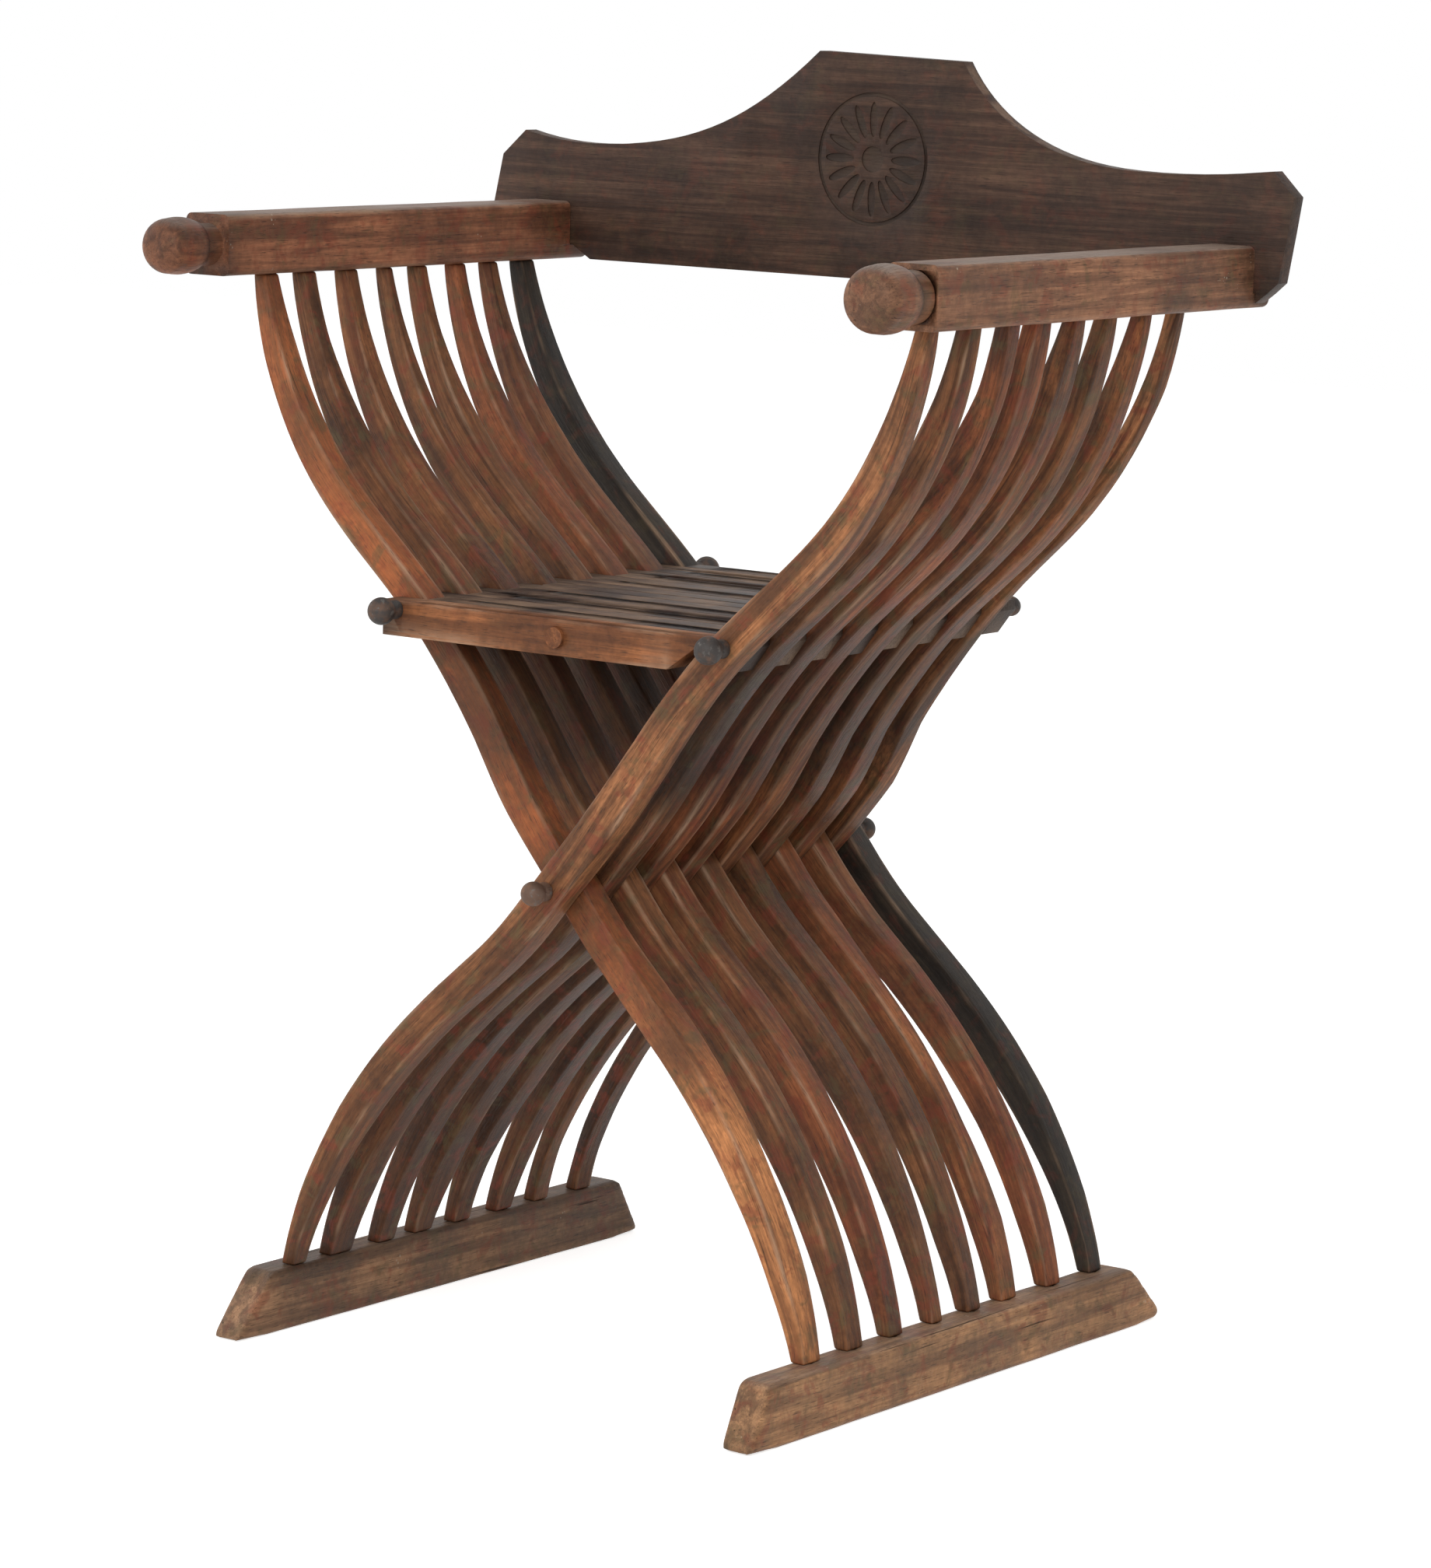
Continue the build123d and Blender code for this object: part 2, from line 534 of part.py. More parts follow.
def make_knob(x, z, face_y, facing, diameter, centre, name):
    """Ball knob on a collar, bored to take the end of its rod; facing is FRONT or REAR."""
    radius = diameter / 2
    neck = KNOB_NECK_DIAMETER / 2
    collar = KNOB_COLLAR_DIAMETER / 2
    ball_start = centre - math.sqrt(radius ** 2 - neck ** 2)
    bore = ROD_DIAMETER / 2 + RUNNING_CLEARANCE
    foot_of_knob = face_y + facing * KNOB_GAP
    with BuildPart() as knob:
        with BuildSketch(Plane(origin=(x, foot_of_knob, z), x_dir=(1, 0, 0), z_dir=(0, 0, facing))):
            with BuildLine():
                Polyline((0, 0), (collar, 0), (collar, min(KNOB_COLLAR, ball_start)),
                         (neck, ball_start))
                ThreePointArc((neck, ball_start), (radius, centre), (0, centre + radius))
                Line((0, centre + radius), (0, 0))
            make_face()
        revolve(axis=Axis((x, foot_of_knob, z), (0, 1, 0)))
        with BuildSketch(Plane(origin=(x, foot_of_knob, z), x_dir=(1, 0, 0), z_dir=(0, facing, 0))):
            Circle(bore)
        extrude(amount=KNOB_SOCKET, mode=Mode.SUBTRACT)
    finish(knob, name)


make_rod(-SEAT_ROD_X, SEAT_ROD_Z, SEAT_FRONT_Y, SEAT_REAR_Y, "left_seat_rod")
make_rod(SEAT_ROD_X, SEAT_ROD_Z, SEAT_FRONT_Y, SEAT_REAR_Y, "right_seat_rod")
make_rod(0, PIVOT_Z, CROSS_FRONT_Y, CROSS_REAR_Y, "pivot_rod")

make_knob(-SEAT_ROD_X, SEAT_ROD_Z, SEAT_FRONT_Y, FRONT, KNOB_DIAMETER, KNOB_CENTRE,
          "left_seat_rod_front_knob")
make_knob(-SEAT_ROD_X, SEAT_ROD_Z, SEAT_REAR_Y, REAR, KNOB_DIAMETER, LONG_KNOB_CENTRE,
          "left_seat_rod_rear_knob")
make_knob(SEAT_ROD_X, SEAT_ROD_Z, SEAT_FRONT_Y, FRONT, KNOB_DIAMETER, KNOB_CENTRE,
          "right_seat_rod_front_knob")
make_knob(SEAT_ROD_X, SEAT_ROD_Z, SEAT_REAR_Y, REAR, BUTTON_DIAMETER, BUTTON_CENTRE,
          "right_seat_rod_rear_knob")
make_knob(0, PIVOT_Z, CROSS_FRONT_Y, FRONT, PIVOT_KNOB_DIAMETER, PIVOT_KNOB_CENTRE,
          "pivot_rod_front_knob")
make_knob(0, PIVOT_Z, CROSS_REAR_Y, REAR, PIVOT_KNOB_DIAMETER, PIVOT_REAR_KNOB_CENTRE,
          "pivot_rod_rear_knob")


# --- Back board --------------------------------------------------------------------------------

def notch_outline(arm_side):
    """Bird's mouth in the board's bottom edge that sits over the groove floor of one arm."""
    outer = ARM_CENTRE_X + ARM_WIDTH / 2 + NOTCH_SIDE
    inner = ARM_CENTRE_X - ARM_WIDTH / 2 - NOTCH_SIDE
    top = GROOVE_Z + BOARD_SEAT_GAP
    bottom = BOARD_BOTTOM - BOARD_THICKNESS
    flare = (top - bottom) / GROOVE_FLOOR * NOTCH_FLARE
    return [(arm_side * outer, bottom), (arm_side * outer, top), (arm_side * inner, top),
            (arm_side * (inner - flare), bottom)]


with BuildPart() as back_board:
    with BuildSketch(Plane.XZ.offset(-BOARD_FRONT_Y)):
        with BuildLine():
            Spline(CREST[0], *LEFT_SHOULDER)
            Polyline(LEFT_SHOULDER[-1], *LEFT_END, (LEFT_END[-1][0] + BOARD_THICKNESS, BOARD_BOTTOM),
                     (RIGHT_END[-1][0] - BOARD_THICKNESS, BOARD_BOTTOM), *reversed(RIGHT_END),
                     RIGHT_SHOULDER[-1])
            Spline(*reversed(RIGHT_SHOULDER), CREST[1])
            Line(CREST[1], CREST[0])
        make_face()
        for side in (LEFT, RIGHT):
            Polygon(*notch_outline(side), align=None, mode=Mode.SUBTRACT)
    extrude(amount=-BOARD_THICKNESS)
    with BuildSketch(Plane(origin=(ROSETTE_X, BOARD_FRONT_Y, ROSETTE_Z), x_dir=(1, 0, 0),
                           z_dir=(0, -1, 0))):
        Circle(ROSETTE_RADIUS)
        Circle(ROSETTE_RADIUS - ROSETTE_RIM, mode=Mode.SUBTRACT)
        with PolarLocations(RAY_CENTRE, ROSETTE_RAYS):
            Ellipse(RAY_LENGTH / 2, RAY_WIDTH / 2)
        Circle(ROSETTE_EYE)
    extrude(amount=-ROSETTE_DEPTH, mode=Mode.SUBTRACT)
finish(back_board, "back_board")
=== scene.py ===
"""Looks of a folding armchair of curved walnut staves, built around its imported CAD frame."""

import json
import math

import bpy
import numpy as np
from mathutils import Matrix, Vector


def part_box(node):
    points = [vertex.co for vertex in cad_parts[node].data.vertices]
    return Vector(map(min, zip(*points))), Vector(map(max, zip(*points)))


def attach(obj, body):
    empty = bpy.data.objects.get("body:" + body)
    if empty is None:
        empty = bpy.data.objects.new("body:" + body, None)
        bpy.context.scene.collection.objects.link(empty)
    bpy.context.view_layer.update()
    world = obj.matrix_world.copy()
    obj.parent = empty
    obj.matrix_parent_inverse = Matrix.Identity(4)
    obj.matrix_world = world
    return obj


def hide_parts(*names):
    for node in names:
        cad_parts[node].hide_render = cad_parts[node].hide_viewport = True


bl_info = {
    "name": "Folding Stave Armchair",
    "version": (1, 0, 0),
    "blender": (4, 5, 0),
    "location": "3D View > Sidebar > Armchair",
    "description": "Dresses a folding armchair of curved staves with aged walnut and dark iron",
    "category": "Object",
}

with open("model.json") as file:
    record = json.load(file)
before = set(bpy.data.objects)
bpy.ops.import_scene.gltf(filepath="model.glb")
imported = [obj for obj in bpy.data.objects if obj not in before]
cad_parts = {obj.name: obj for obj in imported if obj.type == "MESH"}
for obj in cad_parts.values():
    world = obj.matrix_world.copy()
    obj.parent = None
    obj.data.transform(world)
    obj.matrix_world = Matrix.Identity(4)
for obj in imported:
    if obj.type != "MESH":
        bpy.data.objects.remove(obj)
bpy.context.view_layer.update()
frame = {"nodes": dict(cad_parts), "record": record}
NODES = frame["nodes"]
BODY_OF = {node: body for body, nodes in frame["record"]["behaviour"]["bodies"].items() for node in nodes}
JOINT_AT = {joint["name"]: joint.get("pos_m") for joint in frame["record"]["behaviour"]["joints"]}
PIVOT_HEIGHT = JOINT_AT["fold"][2]
SEAT_ROD_X, _, SEAT_ROD_HEIGHT = JOINT_AT["right_seat_fold"]
BORE_RADIUS = (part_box("pivot_rod")[1].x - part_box("pivot_rod")[0].x) / 2 + 0.00025
ARM_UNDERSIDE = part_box("left_arm")[0].z
FOOT_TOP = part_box("left_foot")[1].z
SHOULDER = 0.0003  # how far from a stave's ends its first and last sections are taken
TONE_BLEND = 0.06  # half the height over which the tone below the pivot turns into the one above
SHADE_DEPTH = 0.52  # how far the painted shade darkens the band below the seat
DARK_GRAIN = (0.34, 0.33, 0.36)  # share of the wood's red, green and blue kept in its dark grain
SMOOTH_ANGLE = math.radians(40.0)  # faces that meet flatter than this are shaded as one

STAVES = range(1, 9)
LEFT_STAVES = [f"left_arm_stave_{number}" for number in STAVES]
RIGHT_STAVES = [f"right_arm_stave_{number}" for number in STAVES]
SLATS = [f"{side}_seat_slat_{number}" for number in STAVES for side in ("left", "right")]
DOWELS = ["middle_dowel_in_left_slats", "middle_dowel_in_right_slats"]
RODS = ["left_seat_rod", "right_seat_rod", "pivot_rod"]
KNOBS = [f"{rod}_{end}_knob" for rod in RODS for end in ("front", "rear")]


# --- Colours and sizes a user may change --------------------------------------------------------

def colour(name, description, value):
    """Colour property with its default in linear RGB."""
    return bpy.props.FloatVectorProperty(name=name, description=description, subtype="COLOR",
                                         size=3, min=0.0, max=1.0, default=value)


def length(name, description, value):
    return bpy.props.FloatProperty(name=name, description=description, default=value, min=0.0,
                                   unit="LENGTH", subtype="DISTANCE", precision=4)


def turn(name, description, degrees):
    return bpy.props.FloatProperty(name=name, description=description, unit="ROTATION",
                                   subtype="ANGLE", default=math.radians(degrees))


def share(name, description, value, top=1.0):
    return bpy.props.FloatProperty(name=name, description=description, default=value, min=0.0,
                                   max=top)


class ChairWood(bpy.types.PropertyGroup):
    """Colours of the walnut and of what age has done to it."""

    bright: colour("Bright walnut", "Sunned front stave of the right leg", (0.50, 0.205, 0.078))
    amber: colour("Amber walnut", "Front stave of the left arm", (0.316, 0.094, 0.032))
    rose: colour("Rose walnut", "Front stave of the right arm", (0.38, 0.158, 0.066))
    warm: colour("Warm walnut", "Polished face of a sound stave", (0.33, 0.122, 0.046))
    ruddy: colour("Ruddy walnut", "Staves with a red polish", (0.27, 0.088, 0.035))
    umber: colour("Umber walnut", "Staves browned by age", (0.215, 0.088, 0.036))
    shaded_deep: colour("Deep walnut", "Face of the shaded staves", (0.125, 0.049, 0.020))
    black: colour("Blackened walnut", "Staves darkened by smoke and wax", (0.034, 0.024, 0.016))
    dry: colour("Dry walnut", "Greyed wood on top of rails and seat", (0.300, 0.245, 0.205))
    left_rail: colour("Left arm walnut", "Sides of the left arm", (0.31, 0.125, 0.064))
    right_rail: colour("Right arm walnut", "Sides of the right arm", (0.355, 0.170, 0.092))
    seat: colour("Seat walnut", "Slats of the seat", (0.064, 0.034, 0.023))
    board: colour("Board walnut", "Dark back board", (0.080, 0.043, 0.028))
    left_foot: colour("Left foot walnut", "Grey-brown sides of the left foot", (0.36, 0.200, 0.108))
    right_foot: colour("Right foot walnut", "Scrubbed sides of the right foot", (0.44, 0.235, 0.115))
    bare: colour("Bare wood", "Wood rubbed pale along the arrises", (0.46, 0.30, 0.195))
    moss: colour("Green cast", "Greenish bloom in the old wax", (0.120, 0.092, 0.040))
    rust: colour("Red cast", "Reddish stain in the old polish", (0.235, 0.048, 0.026))
    # Also the colour that painted shade darkens pieces towards.
    grime_and_shade: colour("Grime", "Dark wax and dust in the pores and cracks", (0.018, 0.012, 0.009))
    lime: colour("Lime specks", "Pale specks of dust and filler", (0.52, 0.42, 0.32))
    iron: colour("Iron", "Black scale of the rods and knobs", (0.052, 0.045, 0.042))
    iron_rust: colour("Iron rust", "Brown rust on the rods and knobs", (0.125, 0.074, 0.052))
    rust_patch: colour("Rust patches", "Brightest rust, on the front knob of the pivot", (0.21, 0.115, 0.072))


class ChairSizes(bpy.types.PropertyGroup):
    """Sizes of the hand-worked surfaces."""

    stave_arris: length("Stave arris", "Radius worn on the arrises of the staves", 0.0017)
    ring_step: length("Ring step", "Rise between the rings that a stave is bent by", 0.0055)
    foot_grid: length("Foot grid", "Size of the squares that a foot is skinned with", 0.002)
    slat_arris: length("Slat arris", "Radius worn on the arrises of the seat slats", 0.0009)
    rail_arris: length("Rail arris", "Radius worn on the arrises of the arms", 0.0010)
    board_arris: length("Board arris", "Radius worn on the arrises of the back board", 0.0014)
    waviness: length("Waviness", "Depth of the tool marks along a stave", 0.0005)
    foot_nose: length("Foot nose", "How far the wear of its tips reaches along a foot", 0.030)
    bun_length: length("Bun length", "From the front of an arm to the neck behind its bun", 0.0345)
    worn_band: length("Worn band", "Width of the rubbed band beside an arris", 0.0045)
    rosette_x: bpy.props.FloatProperty(name="Rosette X", description="Middle of the rosette across",
                                       default=-0.0045, unit="LENGTH", precision=4)
    rosette_z: length("Rosette Z", "Middle of the rosette above the floor", 0.7515)
    rosette_radius: length("Rosette radius", "Outer radius of the rosette", 0.044)


class ChairStage(bpy.types.PropertyGroup):
    """Camera, floor and lamps."""

    azimuth: turn("Azimuth", "Camera turned from the front towards +X", 36.04)
    elevation: turn("Elevation", "Camera above the level", 8.71)
    roll: turn("Roll", "Camera turned about its own axis", -1.58)
    distance: length("Distance", "From the camera to the point it looks at", 3.5726)
    target: bpy.props.FloatVectorProperty(name="Target", description="Point the camera looks at",
                                          default=(0.06297, -0.0753, 0.3723), subtype="XYZ", unit="LENGTH")
    lens: bpy.props.FloatProperty(name="Lens", description="Focal length over a 36 mm tall frame",
                                  default=131.71, unit="CAMERA")
    floor: colour("Floor", "Pale floor and backdrop", (0.86, 0.855, 0.845))
    key_power: bpy.props.FloatProperty(name="Key lamp", description="Large lamp beside the camera",
                                       default=60.0, min=0.0, unit="POWER")
    fill_power: bpy.props.FloatProperty(name="Fill lamp", description="Large lamp on the far side",
                                        default=20.0, min=0.0, unit="POWER")
    sky: share("Sky", "Light from all round", 0.55, 4.0)
    whiteness: share("Whiteness", "White that the camera sees on the floor beside its own shade", 0.70)


# --- Small helpers for modelling ----------------------------------------------------------------

def pick_only(obj):
    """Select one object and nothing else."""
    bpy.ops.object.select_all(action="DESELECT")
    obj.select_set(True)
    bpy.context.view_layer.objects.active = obj


def merged_copy(node, name):
    """A copy of a CAD node with its flat faces made whole, free of the node's own marks."""
    pick_only(NODES[node])
    bpy.ops.object.duplicate()
    piece = bpy.context.active_object
    piece.name = name
    piece.data.name = name
    piece.parent = None
    for mark in [key for key in piece.keys() if key.startswith("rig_")]:
        del piece[mark]
    pick_only(piece)
    bpy.ops.object.mode_set(mode="EDIT")
    bpy.ops.mesh.select_all(action="SELECT")
    bpy.ops.mesh.remove_doubles(threshold=0.00001)
    bpy.ops.mesh.dissolve_limited(angle_limit=math.radians(0.6))
    bpy.ops.object.mode_set(mode="OBJECT")
    return piece


def cut_across(piece, axis, places):
    """Cut the mesh by planes across one axis, so that it can bend and hold a pattern there."""
    normal = [0.0, 0.0, 0.0]
    normal["XYZ".index(axis)] = 1.0
    pick_only(piece)
    bpy.ops.object.mode_set(mode="EDIT")
    for place in places:
        bpy.ops.mesh.select_all(action="SELECT")
        bpy.ops.mesh.bisect(plane_co=[value * place for value in normal], plane_no=normal)
    bpy.ops.object.mode_set(mode="OBJECT")


def round_arrises(piece, radius, segments=3, angle=32.0):
    """Round all sharp edges, as rubbing and wax have done."""
    bevel = piece.modifiers.new("Arris", "BEVEL")
    bevel.width = radius
    bevel.segments = segments
    bevel.limit_method = "ANGLE"
    bevel.angle_limit = math.radians(angle)
    bevel.use_clamp_overlap = True
    bevel.harden_normals = False
    pick_only(piece)
    bpy.ops.object.modifier_apply(modifier="Arris")
    bpy.ops.object.shade_smooth_by_angle(angle=SMOOTH_ANGLE)


def coat(piece, material):
    """Give a new piece one material in place of all it had."""
    piece.data.materials.clear()
    piece.data.materials.append(material)


def dress(obj, material):
    """Give an object one material through its slots, its mesh left as it is."""
    if not obj.material_slots:
        raise RuntimeError(f"{obj.name} has no material slot")
    for slot in obj.material_slots:
        slot.material = material


def stand_for(piece, node):
    """Let a finished piece stand for its CAD node, on the same body."""
    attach(piece, BODY_OF[node])
    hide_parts(node)


def steps(low, high, step):
    """Even places from low to high, without the ends."""
    count = max(1, round((high - low) / step))
    return [low + (high - low) * index / count for index in range(1, count)]


def coordinates(piece):
    values = np.empty(len(piece.data.vertices) * 3)
    piece.data.vertices.foreach_get("co", values)
    return values.reshape(-1, 3)


def write_attribute(piece, name, kind, values):
    attribute = piece.data.attributes.new(name, kind, "POINT")
    field = "vector" if kind == "FLOAT_VECTOR" else "value"
    attribute.data.foreach_set(field, np.asarray(values, dtype=np.float32).ravel())


def mark_arrises(piece, band):
    """Write how near each point of a boxy piece lies to an arris, from 0 to 1."""
    points = coordinates(piece)
    depths = np.minimum(points - points.min(0), points.max(0) - points)
    nearest = np.sort(np.abs(depths), axis=1)[:, 1]
    write_attribute(piece, "arris", "FLOAT", 1.0 - np.clip(nearest / band, 0.0, 1.0))


# --- Small helpers for materials ----------------------------------------------------------------

def place(tree, kind, column, row, **settings):
    """Add a shader node at a spot in the tree, with its settings."""
    node = tree.nodes.new(kind)
    node.location = (column * 190, row * -170)
    for key, value in settings.items():
        setattr(node, key, value)
    return node


def wire(tree, source, target):
    tree.links.new(source, target)
    return target


def maths(tree, operation, first, second, column, row, clamp=False):
    """Math node on sockets or plain numbers; returns its output."""
    node = place(tree, "ShaderNodeMath", column, row, operation=operation, use_clamp=clamp)
    for socket, value in zip(node.inputs, (first, second)):
        if value is None:
            continue
        if isinstance(value, (int, float)):
            socket.default_value = value
        else:
            tree.links.new(value, socket)
    return node.outputs[0]


def ramp(tree, value, low, high, column, row, smooth=True):
    """Map a value from low..high to 0..1."""
    node = place(tree, "ShaderNodeMapRange", column, row)
    node.interpolation_type = "SMOOTHSTEP" if smooth else "LINEAR"
    tree.links.new(value, node.inputs["Value"])
    node.inputs["From Min"].default_value = low
    node.inputs["From Max"].default_value = high
    return node.outputs["Result"]


def blend_colours(tree, mask, first, second, column, row, mode="MIX"):
    """Mix two colours by a mask; each is a socket or a plain colour."""
    node = place(tree, "ShaderNodeMix", column, row, data_type="RGBA", blend_type=mode)
    sockets = {"Factor": node.inputs[0], "A": node.inputs[6], "B": node.inputs[7]}
    for key, value in (("Factor", mask), ("A", first), ("B", second)):
        if isinstance(value, (int, float)):
            sockets[key].default_value = value
        elif isinstance(value, bpy.types.NodeSocket):
            tree.links.new(value, sockets[key])
        else:
            sockets[key].default_value = (*value, 1.0)
    return node.outputs[2]


def noise(tree, vector, scale, column, row, detail=3.0, roughness=0.55, distortion=0.0):
    node = place(tree, "ShaderNodeTexNoise", column, row)
    tree.links.new(vector, node.inputs["Vector"])
    node.inputs["Scale"].default_value = scale
    node.inputs["Detail"].default_value = detail
    node.inputs["Roughness"].default_value = roughness
    node.inputs["Distortion"].default_value = distortion
    return node.outputs["Fac"]


def new_group(name, inputs, outputs):
    """Shader node group with named sockets; returns the tree and its two end nodes."""
    tree = bpy.data.node_groups.new(name, "ShaderNodeTree")
    for label, kind, default in inputs:
        socket = tree.interface.new_socket(name=label, in_out="INPUT", socket_type=kind)
        if default is not None:
            socket.default_value = default
    for label, kind in outputs:
        tree.interface.new_socket(name=label, in_out="OUTPUT", socket_type=kind)
    return tree, place(tree, "NodeGroupInput", -6, 0), place(tree, "NodeGroupOutput", 12, 0)


def shifted_by_seed(tree, enter):
    """The group's vector moved by its seed, so that no two pieces carry the same pattern."""
    shift = place(tree, "ShaderNodeCombineXYZ", -5, 1)
    for socket in shift.inputs:
        wire(tree, enter.outputs["Seed"], socket)
    moved = place(tree, "ShaderNodeVectorMath", -4, 0, operation="ADD")
    wire(tree, enter.outputs["Vector"], moved.inputs[0])
    wire(tree, shift.outputs[0], moved.inputs[1])
    return moved.outputs[0]


def grain_group():
    """Fibres, growth bands, pores and cracks along the first axis of the vector, in metres."""
    tree, enter, leave = new_group(
        "Walnut grain",
        [("Vector", "NodeSocketVector", None), ("Seed", "NodeSocketFloat", 0.0)],
        [("Fibre", "NodeSocketFloat"), ("Bands", "NodeSocketFloat"), ("Pores", "NodeSocketFloat"),
         ("Cracks", "NodeSocketFloat")])
    moved = shifted_by_seed(tree, enter)

    def stretched(factors, row):
        node = place(tree, "ShaderNodeVectorMath", -3, row, operation="MULTIPLY")
        wire(tree, moved, node.inputs[0])
        node.inputs[1].default_value = factors
        return node.outputs[0]

    wire(tree, noise(tree, stretched((22.0, 620.0, 620.0), 0), 1.0, -1, 0, 4.0, 0.62, 0.25),
         leave.inputs["Fibre"])
    wire(tree, noise(tree, stretched((5.0, 120.0, 120.0), 1), 1.0, -1, 1, 3.0, 0.55, 0.9),
         leave.inputs["Bands"])
    pores = noise(tree, stretched((95.0, 1500.0, 1500.0), 2), 1.0, -1, 2, 1.0, 0.5)
    wire(tree, ramp(tree, pores, 0.60, 0.72, 1, 2), leave.inputs["Pores"])
    cracks = noise(tree, stretched((7.0, 260.0, 260.0), 3), 1.0, -1, 3, 2.0, 0.6, 0.3)
    wire(tree, ramp(tree, cracks, 0.685, 0.735, 1, 3), leave.inputs["Cracks"])
    return tree


def stain_group():
    """Two sets of blotches of old polish, and fine specks, in object space."""
    tree, enter, leave = new_group(
        "Old polish stains",
        [("Vector", "NodeSocketVector", None), ("Seed", "NodeSocketFloat", 0.0)],
        [("Broad", "NodeSocketFloat"), ("Red", "NodeSocketFloat"), ("Green", "NodeSocketFloat"),
         ("Specks", "NodeSocketFloat"), ("Dents", "NodeSocketFloat"), ("Mottle", "NodeSocketFloat")])
    vector = shifted_by_seed(tree, enter)
    wire(tree, noise(tree, vector, 13.0, -1, 0, 3.0, 0.6), leave.inputs["Broad"])
    wire(tree, ramp(tree, noise(tree, vector, 190.0, -1, 6, 2.0, 0.65), 0.30, 0.70, 1, 6),
         leave.inputs["Mottle"])
    wire(tree, ramp(tree, noise(tree, vector, 62.0, -1, 1, 3.0, 0.65, 0.6), 0.50, 0.66, 1, 1),
         leave.inputs["Red"])
    shifted = place(tree, "ShaderNodeVectorMath", -3, 2, operation="ADD")
    wire(tree, vector, shifted.inputs[0])
    shifted.inputs[1].default_value = (3.7, 1.9, 5.3)
    wire(tree, ramp(tree, noise(tree, shifted.outputs[0], 55.0, -1, 2, 3.0, 0.65, 0.6), 0.52, 0.68, 1, 2),
         leave.inputs["Green"])
    specks = place(tree, "ShaderNodeTexVoronoi", -1, 3, feature="F1")
    wire(tree, vector, specks.inputs["Vector"])
    specks.inputs["Scale"].default_value = 330.0
    size = maths(tree, "MULTIPLY", ramp(tree, noise(tree, vector, 45.0, -2, 4, 1.0), 0.56, 0.80, -1, 4),
                 0.34, 0, 4)
    near = maths(tree, "SUBTRACT", size, specks.outputs["Distance"], 1, 3)
    wire(tree, ramp(tree, near, 0.0, 0.12, 2, 3), leave.inputs["Specks"])
    dents = place(tree, "ShaderNodeTexVoronoi", -1, 5, feature="SMOOTH_F1")
    wire(tree, shifted.outputs[0], dents.inputs["Vector"])
    dents.inputs["Scale"].default_value = 120.0
    dents.inputs["Smoothness"].default_value = 0.6
    wire(tree, ramp(tree, dents.outputs["Distance"], 0.05, 0.30, 1, 5), leave.inputs["Dents"])
    return tree


